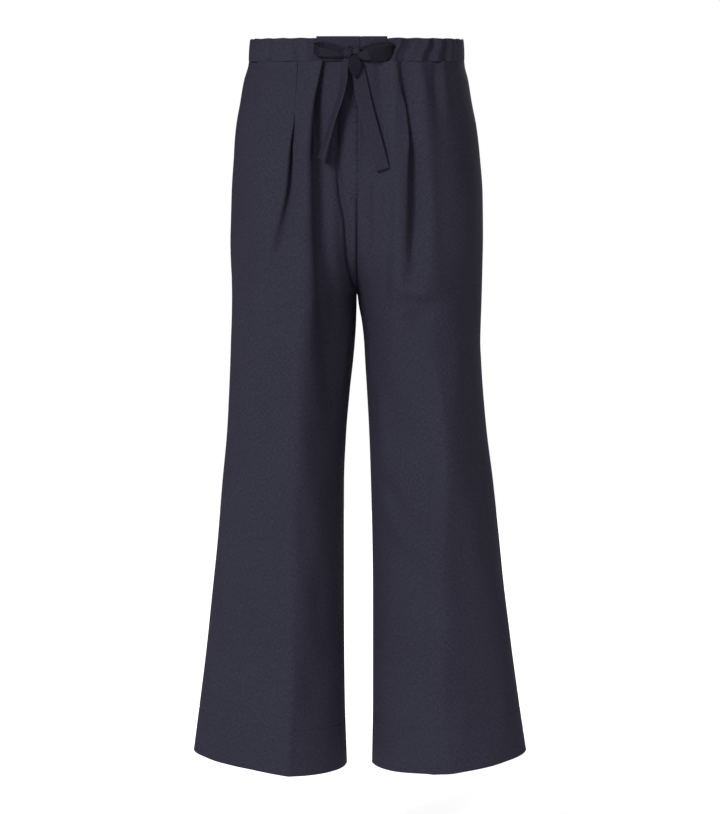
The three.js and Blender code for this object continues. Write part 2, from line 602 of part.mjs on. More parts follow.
// Each piece has its own finish: dark navy worsted wool, the tape a shade darker where it turns
const finish = (color, roughness) => new THREE.MeshStandardMaterial({ color, roughness, metalness: 0 });
const group = new THREE.Group();
function add(name, geometry, material) {
  const mesh = new THREE.Mesh(geometry, material);
  mesh.name = name;
  group.add(mesh);
}

const surfaces = {};
for (const side of ['Right', 'Left']) {
  for (const face of ['front', 'back']) {
    const panel = panelSurfaces(side, face);
    surfaces[face + side] = panel;
    const [outer, inner] = [mirrored(panel.outer, side), mirrored(panel.inner, side)];
    for (const stretch of stretches) {
      const geometry = wallGeometry(stretchOf(outer, stretch), stretchOf(inner, stretch));
      add(`${face}_${side.toLowerCase()}_${stretch.name}`, geometry, finish(0x2c2c3a, 0.88));
    }
  }
}

add('fly_panel', flyGeometry(surfaces.frontRight), finish(0x2b2b38, 0.88));

const bandEnds = { right: angleAtX(-56), middle: angleAtX(4.3), left: angleAtX(42) };
const halfGap = (seamGap * Math.PI) / 4 / sectionLine('Right', 'front', bandHeight / 2).total;
const bandPiece = (from, to, steps, topDown) => bandGeometry(from + halfGap, to - halfGap, steps, topDown);
add('band_front_right', bandPiece(bandEnds.right, bandEnds.middle, 8, 0), finish(0x2a2a37, 0.88));
add('band_front_left', bandPiece(bandEnds.middle, bandEnds.left, 6, 0), finish(0x2a2a37, 0.88));
add('band_casing', bandPiece(bandEnds.left, bandEnds.right + 2 * Math.PI, 92, casingDrop),
  finish(0x292936, 0.88));

add('tie_knot', knotGeometry(), finish(0x292935, 0.9));
add('tie_wrap', tapeGeometry(wrapRoute, 2), finish(0x262631, 0.9));
const knotReach = knot.width / 2 + seamGap;
add('tie_loop_right', loopGeometry(knot.x - knotReach, -57.5, 19.5, 22), finish(0x292935, 0.9));
add('tie_loop_left', loopGeometry(knot.x + knotReach, 48, 19.5, 20), finish(0x292935, 0.9));
add('tie_tail_right', tapeGeometry(tailRight, 3), finish(0x292935, 0.9));
add('tie_tail_left', tapeGeometry(tailLeft, 3), finish(0x292935, 0.9));

export default group;
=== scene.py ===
import math
import bpy
import numpy as np
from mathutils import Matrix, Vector


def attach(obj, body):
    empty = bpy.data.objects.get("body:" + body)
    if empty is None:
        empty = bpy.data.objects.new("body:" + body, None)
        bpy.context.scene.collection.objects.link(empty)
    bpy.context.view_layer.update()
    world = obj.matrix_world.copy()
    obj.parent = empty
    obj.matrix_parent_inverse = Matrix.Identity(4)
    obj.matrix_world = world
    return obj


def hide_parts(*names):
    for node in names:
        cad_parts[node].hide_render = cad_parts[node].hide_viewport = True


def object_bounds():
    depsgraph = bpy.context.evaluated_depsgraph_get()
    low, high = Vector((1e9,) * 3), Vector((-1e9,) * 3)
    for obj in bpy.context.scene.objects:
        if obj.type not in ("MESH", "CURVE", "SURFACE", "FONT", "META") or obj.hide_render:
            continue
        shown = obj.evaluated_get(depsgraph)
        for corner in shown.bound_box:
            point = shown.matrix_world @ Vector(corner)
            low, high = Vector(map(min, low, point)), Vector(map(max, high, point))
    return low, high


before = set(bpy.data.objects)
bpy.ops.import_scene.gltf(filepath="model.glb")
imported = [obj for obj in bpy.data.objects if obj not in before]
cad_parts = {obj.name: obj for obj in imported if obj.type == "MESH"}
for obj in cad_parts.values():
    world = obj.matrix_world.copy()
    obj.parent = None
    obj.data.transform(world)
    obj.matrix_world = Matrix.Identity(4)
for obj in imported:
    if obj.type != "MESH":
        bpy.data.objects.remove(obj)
cadLow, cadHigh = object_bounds()

# Wide-leg wool trousers with a drawstring bow, filled out as when worn. The frame is the CAD model's:
# metres, +Z up, the wearer faces -Y. Cloth is worked out in millimetres, as in the CAD model, and scaled.
# "down" is the distance below the waist's top edge, "x" the distance from the centre, alike on both legs.


def srgb(code):
    channels = [int(code[i:i + 2], 16) / 255 for i in (1, 3, 5)]
    return [c / 12.92 if c <= 0.04045 else ((c + 0.055) / 1.055) ** 2.4 for c in channels] + [1.0]


# Camera and light
camera = {"place": (0.0043, -3.0, -0.059), "pitchDown": 8.544, "lens": 92.6}
lights = [
    {"name": "key", "place": (-3.3, -5.1, 2.6), "aim": (0, 0, -0.6), "size": 1.9, "power": 530},
    {"name": "low", "place": (-0.6, -3.4, -0.9), "aim": (0, 0, -0.8), "size": 1.2, "power": 4},
    {"name": "side", "place": (2.6, -1.4, 0.3), "aim": (0, 0, -0.5), "size": 0.9, "power": 16},
    {"name": "back", "place": (1.2, 2.6, 1.2), "aim": (0, 0, -0.5), "size": 2.0, "power": 60},
]
# The room is white to look at, but lights the cloth only this much, as flags beside a studio table do
studio = {"seen": 1.0, "fill": 0.26, "floorBelow": 0.22, "floorHalf": 3.0, "floorColor": "#fafafa",
          "floorShade": "#f4f4f4", "floorGlow": 0.42}


def aimed(place, aim):
    return (Vector(aim) - Vector(place)).to_track_quat("-Z", "Y").to_euler()


view = bpy.data.cameras.new("camera")
view.lens = camera["lens"]
view.sensor_width = 36
viewer = bpy.data.objects.new("camera", view)
viewer.location = camera["place"]
viewer.rotation_euler = (math.radians(90 - camera["pitchDown"]), 0, 0)
bpy.context.scene.collection.objects.link(viewer)
bpy.context.scene.camera = viewer
bpy.context.scene.view_settings.view_transform = "Standard"

for light in lights:
    lamp = bpy.data.lights.new(light["name"], "AREA")
    lamp.size = light["size"]
    lamp.energy = light["power"]
    lampObject = bpy.data.objects.new(light["name"], lamp)
    lampObject.location = light["place"]
    lampObject.rotation_euler = aimed(light["place"], light["aim"])
    bpy.context.scene.collection.objects.link(lampObject)

# One node with its settings, and each input a value or a link
def addNode(tree, kind, settings, inputs):
    made = tree.nodes.new(kind)
    for name, value in settings.items():
        setattr(made, name, value)
    for name, value in inputs.items():
        if isinstance(value, bpy.types.NodeSocket):
            tree.links.new(value, made.inputs[name])
        else:
            made.inputs[name].default_value = value
    return made


world = bpy.data.worlds.new("studio")
world.use_nodes = True
ray = addNode(world.node_tree, "ShaderNodeLightPath", {}, {})
amount = addNode(world.node_tree, "ShaderNodeMix", {"data_type": "FLOAT"}, {
    "Factor": ray.outputs["Is Camera Ray"], "A": studio["fill"], "B": studio["seen"]})
sky = world.node_tree.nodes["Background"]
sky.inputs["Color"].default_value = srgb("#ffffff")
world.node_tree.links.new(amount.outputs["Result"], sky.inputs["Strength"])
bpy.context.scene.world = world
print("camera and lights")


# Materials
def newMaterial(name):
    material = bpy.data.materials.new(name)
    material.use_nodes = True
    material.node_tree.nodes.clear()
    return material, material.node_tree


# Worsted wool suiting: a fine weave of combed, dyed yarns, pressed flat and lightly brushed, so it is deep
# navy with no shine. Yarns differ a little in thickness and dye, which gives the eye short pale and dark
# threads both ways. The real ribs are 0.5 mm apart, finer than the picture shows, so here they are 1.3 mm.
def woolMaterial(name, look):
    material, tree = newMaterial(name)
    place = addNode(tree, "ShaderNodeTexCoord", {}, {}).outputs["UV"]
    twill = addNode(tree, "ShaderNodeTexWave", {"bands_direction": "DIAGONAL"}, {
        "Vector": place, "Scale": 0.314 / look["twillPitch"], "Distortion": 1.5, "Detail": 1.0,
        "Detail Scale": 1.2})
    yarns = []
    for stretch in ((1.0, look["yarnStretch"], 1.0), (look["yarnStretch"], 1.0, 1.0)):
        along = addNode(tree, "ShaderNodeMapping", {}, {"Vector": place, "Scale": stretch})
        yarn = addNode(tree, "ShaderNodeTexNoise", {}, {
            "Vector": along.outputs["Vector"], "Scale": 1 / look["yarnSize"], "Detail": 1.5, "Roughness": 0.6})
        yarns.append(addNode(tree, "ShaderNodeMapRange", {}, {
            "Value": yarn.outputs["Fac"], "From Min": 0.32, "From Max": 0.68}).outputs["Result"])
    woven = addNode(tree, "ShaderNodeMix", {"data_type": "FLOAT"}, {
        "Factor": 0.5, "A": yarns[0], "B": yarns[1]})
    cloudy = addNode(tree, "ShaderNodeTexNoise", {}, {"Vector": place, "Scale": 9.0, "Detail": 2.0})
    tone = addNode(tree, "ShaderNodeMix", {"data_type": "RGBA"}, {
        "Factor": woven.outputs["Result"], "A": srgb(look["dark"]), "B": srgb(look["pale"])})
    shade = addNode(tree, "ShaderNodeMapRange", {}, {
        "Value": cloudy.outputs["Fac"], "From Min": 0.3, "From Max": 0.7, "To Min": 0.96, "To Max": 1.04})
    color = addNode(tree, "ShaderNodeMix", {"data_type": "RGBA", "blend_type": "MULTIPLY"}, {
        "Factor": 1.0, "A": tone.outputs["Result"], "B": shade.outputs["Result"]})
    # Painted highlight: towards both long edges of the tape the colour turns paler, standing in for the light
    # the edges catch
    if "edgeAt" in look:
        aside = addNode(tree, "ShaderNodeSeparateXYZ", {}, {"Vector": place})
        fromMiddle = addNode(tree, "ShaderNodeMath", {"operation": "ABSOLUTE"}, {0: aside.outputs["X"]})
        edgeHighlight = addNode(tree, "ShaderNodeMapRange", {}, {
            "Value": fromMiddle.outputs["Value"], "From Min": look["edgeAt"],
            "From Max": look["edgeAt"] + look["edgeBlend"], "To Max": look["edgeHighlightShare"]})
        color = addNode(tree, "ShaderNodeMix", {"data_type": "RGBA"}, {
            "Factor": edgeHighlight.outputs["Result"], "A": color.outputs["Result"], "B": srgb(look["edgeHighlightTone"])})
    grain = addNode(tree, "ShaderNodeMath", {"operation": "MULTIPLY_ADD"}, {
        0: woven.outputs["Result"], 1: 1.4, 2: twill.outputs["Fac"]})
    bump = addNode(tree, "ShaderNodeBump", {}, {
        "Height": grain.outputs["Value"], "Strength": look["relief"], "Distance": 0.0002})
    skin = addNode(tree, "ShaderNodeBsdfPrincipled", {}, {
        "Base Color": color.outputs["Result"], "Roughness": look["roughness"], "Normal": bump.outputs["Normal"],
        "Specular IOR Level": look["gloss"]})
    addNode(tree, "ShaderNodeOutputMaterial", {}, {"Surface": skin.outputs["BSDF"]})
    return material


clothLook = {"dark": "#1d1c27", "pale": "#2e2d38", "twillPitch": 0.0013, "yarnSize": 0.0011,
             "yarnStretch": 0.24, "relief": 0.7, "roughness": 0.8, "gloss": 0.03}
wool = woolMaterial("worsted_wool", clothLook)
# The same wool folded into a flat tape, with a painted highlight on its pressed edges: they are made paler,
# standing in for the light they catch, so they show as thin light lines
tapeLook = {**clothLook, "dark": "#1c1b25", "pale": "#2a2934", "twillPitch": 0.0011, "relief": 0.6,
            "edgeAt": 0.0092, "edgeBlend": 0.0008, "edgeHighlightShare": 0.35, "edgeHighlightTone": "#37363f"}
tapeWool = woolMaterial("drawstring_wool", tapeLook)
# Painted shade: the bow's loops use a darker copy of the tape's wool, so they look as if they take less of the
# light
shadedLoopLook = {**tapeLook, "dark": "#17161e", "pale": "#23222b"}
shadedLoopWool = woolMaterial("drawstring_wool_loop_shaded", shadedLoopLook)
# The loops' insides and the tongue show the tape's inner face, which was never pressed and looks deeper
# Painted shade: a still darker copy of the tape's wool for the loops' front strands near their tips and for the
# tongue, standing in for the shade on faces turned down and away from the light
paintedShadeLook = {**tapeLook, "dark": "#121118", "pale": "#1c1b22"}
paintedShadeWool = woolMaterial("drawstring_wool_painted_shade", paintedShadeLook)


# Sewing thread: polyester spun in plies and dyed to match, so it shows only as a fine row of glints
def threadMaterial():
    material, tree = newMaterial("sewing_thread")
    place = addNode(tree, "ShaderNodeTexCoord", {}, {}).outputs["Object"]
    plies = addNode(tree, "ShaderNodeTexNoise", {}, {"Vector": place, "Scale": 900.0, "Detail": 1.0})
    tone = addNode(tree, "ShaderNodeMix", {"data_type": "RGBA"}, {
        "Factor": plies.outputs["Fac"], "A": srgb("#1a1923"), "B": srgb("#2b2a33")})
    bump = addNode(tree, "ShaderNodeBump", {}, {"Height": plies.outputs["Fac"], "Distance": 0.0001})
    skin = addNode(tree, "ShaderNodeBsdfPrincipled", {}, {
        "Base Color": tone.outputs["Result"], "Roughness": 0.6, "Normal": bump.outputs["Normal"],
        "Specular IOR Level": 0.06})
    addNode(tree, "ShaderNodeOutputMaterial", {}, {"Surface": skin.outputs["BSDF"]})
    return material


thread = threadMaterial()


# Studio floor: a white light table, matt and lit a little from below, with a faint unevenness in its paint
def floorMaterial():
    material, tree = newMaterial("studio_paint")
    place = addNode(tree, "ShaderNodeTexCoord", {}, {}).outputs["Object"]
    uneven = addNode(tree, "ShaderNodeTexNoise", {}, {"Vector": place, "Scale": 1.3, "Detail": 2.0})
    tone = addNode(tree, "ShaderNodeMix", {"data_type": "RGBA"}, {
        "Factor": uneven.outputs["Fac"], "A": srgb(studio["floorShade"]), "B": srgb(studio["floorColor"])})
    skin = addNode(tree, "ShaderNodeBsdfPrincipled", {}, {
        "Base Color": tone.outputs["Result"], "Roughness": 0.9, "Specular IOR Level": 0.1,
        "Emission Color": srgb(studio["floorColor"]), "Emission Strength": studio["floorGlow"]})
    addNode(tree, "ShaderNodeOutputMaterial", {}, {"Surface": skin.outputs["BSDF"]})
    return material


floorMesh = bpy.data.meshes.new("studio_floor")
half, level = studio["floorHalf"], cadLow[2] - studio["floorBelow"]
corners = [(x * half, y * half, level) for x, y in ((-1, -1), (1, -1), (1, 1), (-1, 1))]
floorMesh.from_pydata(corners, [], [(0, 1, 2, 3)])
floorMesh.materials.append(floorMaterial())
floorObject = bpy.data.objects.new("studio_floor", floorMesh)
bpy.context.scene.collection.objects.link(floorObject)
print("materials and floor")


# Meshes from grids of points, in millimetres
def meshObject(name, points, faces, uvs, material):
    mesh = bpy.data.meshes.new(name)
    mesh.from_pydata((np.asarray(points) * 0.001).tolist(), [], faces)
    if uvs is not None:
        layer = mesh.uv_layers.new(name="cloth")
        corners = np.empty(len(mesh.loops), dtype=np.int32)
        mesh.loops.foreach_get("vertex_index", corners)
        layer.data.foreach_set("uv", (np.asarray(uvs)[corners] * 0.001).ravel())
    mesh.materials.append(material)
    mesh.polygons.foreach_set("use_smooth", [True] * len(mesh.polygons))
    made = bpy.data.objects.new(name, mesh)
    bpy.context.scene.collection.objects.link(made)
    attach(made, "root")
    return made


def gridFaces(rows, columns, closedAcross=False, flip=False):
    across = np.arange(columns if closedAcross else columns - 1)
    r, c = np.meshgrid(np.arange(rows - 1), across, indexing="ij")
    beside = (c + 1) % columns
    faces = np.stack([r * columns + c, (r + 1) * columns + c,
                      (r + 1) * columns + beside, r * columns + beside], -1)
    faces = faces.reshape(-1, 4)
    return (faces[:, ::-1] if flip else faces).tolist()


# Faces round a tube of points, ring by ring, with both ends closed
def tubeFaces(rings, around):
    last = (rings - 1) * around
    ends = [list(range(around)), list(range(last, last + around))[::-1]]
    return gridFaces(rings, around, closedAcross=True) + ends


def table(names, rows):
    return {name: np.array([row[i] for row in rows], float) for i, name in enumerate(names.split())}


def smoothStep(start, stop, value):
    t = np.clip((value - start) / (stop - start), 0, 1)
    return t * t * (3 - 2 * t)


def mix(a, b, t):
    return a + (b - a) * t


# One column of a table at any distance down, as a smooth curve that never overshoots its rows
def valueAt(rows, name, down):
    at, values = rows["down"], rows[name]
    spans = np.diff(at)
    slopes = np.diff(values) / spans
    before, after = slopes[:-1], slopes[1:]
    turning = before * after <= 0
    middle = np.where(turning, 0, 2 * before * after / np.where(turning, 1, before + after))
    tangents = np.concatenate([slopes[:1], middle, slopes[-1:]])
    down = np.clip(down, at[0], at[-1])
    i = np.clip(np.searchsorted(at, down, side="right") - 1, 0, len(spans) - 1)
    t = (down - at[i]) / spans[i]
    return ((2 * t**3 - 3 * t**2 + 1) * values[i] + (t**3 - 2 * t**2 + t) * spans[i] * tangents[i]
            + (3 * t**2 - 2 * t**3) * values[i + 1] + (t**3 - t**2) * spans[i] * tangents[i + 1])


# The filled-out form of the trousers, with the CAD model's sizes
form = {"bandHeight": 34, "waistTop": 17, "crotchDown": 362, "outseam": 1052, "hemTilt": 10, "seamGap": 0.3,
        "shell": 0.9, "inseamDepth": 8, "sectionSteps": 120}
outline = table("down outRight outLeft inRight inLeft", [
    (0, 150.0, 149.7, -260, -260),
    (34, 152.6, 151.3, -250, -250),
    (60, 160.0, 157.5, -240, -240),
    (90, 165.2, 162.6, -225, -225),
    (125, 170.6, 169.5, -205, -205),
    (165, 174.8, 174.7, -175, -175),
    (220, 179.0, 179.4, -118, -118),
    (285, 180.4, 180.4, -48, -48),
    (322, 180.0, 179.8, -18, -18),
    (345, 179.6, 179.2, -5, -5),
    (362, 179.6, 178.6, 0.2, 0.2),
    (378, 179.9, 178.1, 0.5, 2.4),
    (402, 180.6, 177.6, 1.2, 7.0),
    (430, 181.8, 177.6, 3.0, 10.1),
    (460, 182.8, 179.2, 5.8, 11.8),
    (500, 184.6, 181.9, 10.4, 14.3),
    (560, 188.2, 187.4, 15.6, 17.6),
    (640, 195.8, 198.0, 19.0, 20.4),
    (720, 203.0, 207.2, 19.2, 22.4),
    (800, 211.6, 215.8, 19.2, 23.3),
    (880, 220.4, 226.0, 18.9, 23.4),
    (960, 230.3, 237.2, 18.0, 23.4),
    (1052, 242.6, 251.0, 15.0, 22.1),
])
depths = table("down front back side crestRight crestLeft seat", [
    (0, -101, 99, 4, 16, 16, 16),
    (34, -104, 105, 5, 20, 20, 20),
    (90, -111, 118, 6, 34, 34, 40),
    (150, -117, 127, 7, 50, 50, 56),
    (220, -120, 132, 8, 64, 64, 70),
    (285, -119, 130, 8, 75, 75, 82),
    (362, -115, 123, 8, 84, 84, 92),
    (430, -109, 115, 8, 84, 99, 97),
    (520, -102, 107, 8, 82, 120, 102),
    (640, -92, 98, 8, 85, 124, 108),
    (760, -86, 92, 8, 88, 122, 114),
    (880, -82, 88, 8, 92, 121, 122),
    (960, -80, 85, 8, 95, 125, 128),
    (1052, -79, 83, 8, 98, 136, 134),
])
# How sharply the legs are pressed along their foremost and rearmost lines, where 1 is round, how flat the
# waist is, and how far down the one turns into the other
pressed = {"front": 1.5, "back": 1.25, "waist": 0.9, "from": 200, "roundBy": 500, "fullBy": 560}


def heightAt(side, x, down):
    out = valueAt(outline, "out" + side, down)
    inner = np.maximum(0, valueAt(outline, "in" + side, down))
    share = np.clip((down - form["crotchDown"]) / (form["outseam"] - form["crotchDown"]), 0, 1)
    return form["waistTop"] - down + form["hemTilt"] * share * (2 * x - out - inner) / (out - inner)


# Horizontal line of one leg's front or back, from the side seam to the centre seam or inseam
def sectionLine(side, face, down):
    out = valueAt(outline, "out" + side, down) - form["shell"] / 2
    inner = valueAt(outline, "in" + side, down) + form["shell"] / 2
    crest = valueAt(depths, "crest" + side if face == "front" else "seat", down)
    depth, sideDepth = valueAt(depths, face, down), valueAt(depths, "side", down)
    centreX = max(form["seamGap"] / 2 + form["shell"] / 2 * smoothStep(180, 300, down), inner)
    roundness = mix(pressed["waist"], 1, smoothStep(pressed["from"], pressed["roundBy"], down))
    pressing = smoothStep(pressed["from"], pressed["fullBy"], down)
    outerPress, innerPress = mix(pressed["waist"], pressed[face], pressing), mix(1, pressed[face], pressing)
    lastTurn = math.asin(((crest - centreX) / (crest - inner)) ** (1 / innerPress))
    outer = np.linspace(0, math.pi / 2, form["sectionSteps"], endpoint=False)
    turned = np.linspace(0, lastTurn, form["sectionSteps"])
    x = np.concatenate([crest + (out - crest) * np.cos(outer) ** outerPress,
                        crest - (crest - inner) * np.sin(turned) ** innerPress])
    y = np.concatenate([sideDepth + (depth - sideDepth) * np.sin(outer) ** roundness,
                        depth + (form["inseamDepth"] - depth) * (1 - np.cos(turned))])
    s = np.concatenate([[0], np.cumsum(np.hypot(np.diff(x), np.diff(y)))])
    alongX, alongY = np.gradient(x), np.gradient(y)
    run = np.hypot(alongX, alongY)
    sign = 1 if face == "front" else -1
    return {"x": x, "y": y, "s": s, "total": s[-1], "centreX": centreX,
            "outX": -alongY / run * sign, "outY": alongX / run * sign}


def placeOn(line, s):
    x, y, outX, outY = (np.interp(s, line["s"], line[key]) for key in ("x", "y", "outX", "outY"))
    size = np.hypot(outX, outY)
    return x, y, outX / size, outY / size


def lengthAtX(line, x):
    return np.interp(-x, -line["x"], line["s"])


def faceDepth(x, down):
    line = sectionLine("Right" if x < 0 else "Left", "front", down)
    return placeOn(line, lengthAtX(line, abs(x)))[1]


# Side view of a knife pleat: distance along and height of points through both of its bends, middle at 0
def pleatCurve(turn, lip, under, opensTo, bendSteps=9, flatSteps=4):
    bend = (np.arange(bendSteps) + 0.5) / bendSteps * math.radians(turn)
    heading = np.concatenate([bend, np.full(flatSteps, math.radians(turn)), bend[::-1]])
    length = np.repeat([lip / bendSteps, under / flatSteps, lip / bendSteps], [bendSteps, flatSteps, bendSteps])
    along = np.concatenate([[0], np.cumsum(length * np.cos(heading))])
    height = np.concatenate([[0], -np.cumsum(length * np.sin(heading))])
    along, height = along - along[-1] / 2, height - height[-1] / 2
    return (along, height) if opensTo == "centre" else (-along[::-1], height[::-1])


# How far soft folds lift the cloth. A fold is a line of points with the lift and half width at each.
def softLift(folds, x, down):
    total = np.zeros(np.broadcast(x, down).shape)
    for fold in folds:
        nearest = np.full(total.shape, np.inf)
        lift, wide = np.zeros(total.shape), np.ones(total.shape)
        for (xa, da, la, wa), (xb, db, lb, wb) in zip(fold, fold[1:]):
            dx, dd = xb - xa, db - da
            t = np.clip(((x - xa) * dx + (down - da) * dd) / (dx * dx + dd * dd), 0, 1)
            distance = np.hypot(x - xa - t * dx, down - da - t * dd)
            closer = distance < nearest
            eased = t * t * (3 - 2 * t)
            nearest = np.where(closer, distance, nearest)
            lift = np.where(closer, mix(la, lb, eased), lift)
            wide = np.where(closer, mix(wa, wb, eased), wide)
        total += lift * np.exp(-((nearest / wide) ** 2))
    return total


# Faint waviness of hanging cloth, longer down the leg than across it
def waviness(x, down, seed, count=16):
    picks = np.random.default_rng(seed)
    total = np.zeros(np.broadcast(x, down).shape)
    for _ in range(count):
        across, along = picks.uniform(26, 90), picks.uniform(120, 420) * picks.choice([-1, 1])
        height = 0.0045 * across * picks.uniform(0.5, 1)
        total += height * np.sin(2 * math.pi * (x / across + down / along) + picks.uniform(0, 2 * math.pi))
    return total


# Distances down of a panel's rows, close together where its folds and edges need it
panelRows = np.unique(np.concatenate([
    np.linspace(31.5, 36, 7), np.linspace(36, 41, 6), np.linspace(41, 290, 76), np.linspace(290, 384, 52),
    np.linspace(384, 980, 130), np.linspace(980, 990, 11), np.linspace(990, 1052, 20)]))
hem = {"depth": 67, "line": 0.8, "lineWide": 1.0}
# Rows of the hem's turned-up edge: how far down they lie, and how far inside the outer layer
hemRows = [(1052.5, 0.2), (1052.8, 0.75), (1052.5, 1.3), (1051.6, 1.5), (1040, 1.5), (1020, 1.5), (1000, 1.5),
           (986, 1.5)]
# A seam's groove, the puff of cloth beside it, the puff under the band, and the edge tucked behind the band
seam = {"edge": np.array([0, 0.5, 1.1, 1.9, 3.0, 4.4]), "groove": 0.7, "grooveWide": 1.6, "puff": 0.5,
        "puffAt": 4, "puffWide": 2.4, "bandPuff": 0.4, "bandPuffWide": 5, "tuck": 1.5, "tuckFrom": 32.6,
        "tuckTo": 34.4}
# Seam allowance: laid behind the neighbouring panel, so that no light comes through a seam
allowance = {"reach": 5.0, "inset": 1.25, "least": 0.02, "fade": 10, "steps": np.array([-1.0, -0.5, -0.1])}


# Which of a panel's sides have an allowance, and how much of its reach. It changes panels at the crotch.
def allowanceShares(side, face, down):
    crotch, fade = form["crotchDown"], allowance["fade"]
    if face == "front":
        return {"start": 1.0, "end": smoothStep(crotch, crotch + fade, down) if side == "Left" else 1.0}
    return {"end": 1 - smoothStep(crotch - fade, crotch, down)} if side == "Right" else {}


def addAllowance(row, where, share, face, down):
    k, steps = (0, allowance["steps"]) if where == "start" else (-1, -allowance["steps"][::-1])
    share = max(share, allowance["least"])
    steps = steps * allowance["reach"] * share
    sign = 1 if face == "front" else -1
    alongX, alongY = row["outY"][k] * sign, -row["outX"][k] * sign
    if where == "end" and down < form["crotchDown"]:
        alongX, alongY = -1.0, 0.0
    extra = {key: np.full(len(steps), row[key][k]) for key in row}
    extra.update(x=extra["x"] + alongX * steps, y=extra["y"] + alongY * steps, s=extra["s"] + steps,
                 rest=extra["rest"] + steps, lift=np.full(len(steps), -allowance["inset"] * share))
    return {key: np.concatenate([extra[key], row[key]] if where == "start" else [row[key], extra[key]])
            for key in row}


# How far along the cloth a pleat's lift fades out, before or after the pleat
def fadeReach(pleat, after):
    if pleat is None:
        return 1
    return pleat["recover" if (pleat["opensTo"] == "centre") == after else "rise"]


# One row of a panel: s is the distance along the section, rest the distance along the cloth laid flat
def foldedRow(panel, line, down):
    start = form["seamGap"] / 2
    end = line["total"] - (0 if down < form["crotchDown"] else form["seamGap"] / 2)
    zones = []
    for pleat in panel["pleats"]:
        turn, lip, under, x = (valueAt(pleat["path"], key, down) for key in ("turn", "lip", "under", "x"))
        along, height = pleatCurve(turn, lip, under, pleat["opensTo"])
        zones.append((pleat, lengthAtX(line, x) + along, height))
    zones.append((None, np.array([end - seam["edge"][-1]]), np.array([0.0])))
    flat = np.zeros(len(seam["edge"]) - 1)
    s, lift, rest = [start + seam["edge"][:-1]], [flat], [start + seam["edge"][:-1]]
    fromS, fromLift, fromPleat, unfolded = start + seam["edge"][-1], 0.0, None, start + seam["edge"][-1]
    for (pleat, points, heights), steps in zip(zones, panel["columns"]):
        first = 0 if fromPleat is None else 1
        places = np.linspace(fromS, points[0], steps + first, endpoint=False)[first:]
        fromShare = np.clip((places - fromS) / fadeReach(fromPleat, True), 0, 1)
        toShare = np.clip((points[0] - places) / fadeReach(pleat, False), 0, 1)
        faded = (fromLift * np.cos(np.pi / 2 * fromShare) ** 2
                 + heights[0] * np.cos(np.pi / 2 * toShare) ** 2)
        walked = np.concatenate([[0], np.cumsum(np.hypot(np.diff(points), np.diff(heights)))])
        restPoints = unfolded + (points[0] - fromS) + walked
        s += [places, points]
        lift += [faded, heights]
        rest += [unfolded + places - fromS, restPoints]
        fromS, fromLift, fromPleat, unfolded = points[-1], heights[-1], pleat, restPoints[-1]
    s.append(end - seam["edge"][-2::-1])
    lift.append(flat)
    rest.append(unfolded + seam["edge"][-1] - seam["edge"][-2::-1])
    row = {"s": np.concatenate(s), "lift": np.concatenate(lift), "rest": np.concatenate(rest)}
    row["x"], row["y"], row["outX"], row["outY"] = placeOn(line, row["s"])
    return row


# A leg panel as a grid of points of the cloth's middle layer, from its pleats, soft folds and seams
def panelGrid(panel):
    side, face = panel["side"], panel["face"]
    downs = np.concatenate([panelRows, [row[0] for row in hemRows]])
    inset = np.concatenate([np.zeros(len(panelRows)), [row[1] for row in hemRows]])[:, None]
    rows = []
    for down in downs:
        line = sectionLine(side, face, down)
        row = foldedRow(panel, line, down)
        for where, share in allowanceShares(side, face, down).items():
            row = addAllowance(row, where, share, face, down)
        rows.append({**row, "total": [line["total"]], "centreX": [line["centreX"]]})
    g = {key: np.array([row[key] for row in rows]) for key in rows[0]}
    down, toEnd = downs[:, None], g["total"] - g["s"]
    inPanel = (g["s"] >= 0) & (toEnd >= 0)
    edge = smoothStep(0, 14, g["s"]) * smoothStep(0, 12, toEnd)
    soft = softLift(panel["folds"], g["x"], down) + waviness(g["x"], down, panel["seed"])
    fromSeam = np.minimum(np.abs(g["s"]), np.abs(toEnd))
    puff = seam["puff"] * np.exp(-(((fromSeam - seam["puffAt"]) / seam["puffWide"]) ** 2)) * inPanel
    groove = seam["groove"] * np.exp(-((fromSeam / seam["grooveWide"]) ** 2)) * inPanel
    groove -= seam["bandPuff"] * np.exp(-(((down - form["bandHeight"]) / seam["bandPuffWide"]) ** 2))
    groove += seam["tuck"] * (1 - smoothStep(seam["tuckFrom"], seam["tuckTo"], down))
    fromHemLine = down - (form["outseam"] - hem["depth"])
    hemLine = hem["line"] * np.exp(-((fromHemLine / hem["lineWide"]) ** 2)) * (inset == 0)
    lift = g["lift"] + soft * edge + puff - groove - hemLine - inset
    x = g["x"] + g["outX"] * lift
    x = np.where(inPanel, np.maximum(g["centreX"], mix(g["x"], x, smoothStep(0, 2.5, toEnd))), x)
    points = np.stack([x, g["y"] + g["outY"] * lift, heightAt(side, g["x"], down)], -1)
    sign = -1 if side == "Right" else 1
    points[..., 0] *= sign
    uvs = np.stack([g["rest"] * sign, np.broadcast_to(-down, g["rest"].shape)], -1)
    return {"points": points, "uvs": uvs, "downs": downs}


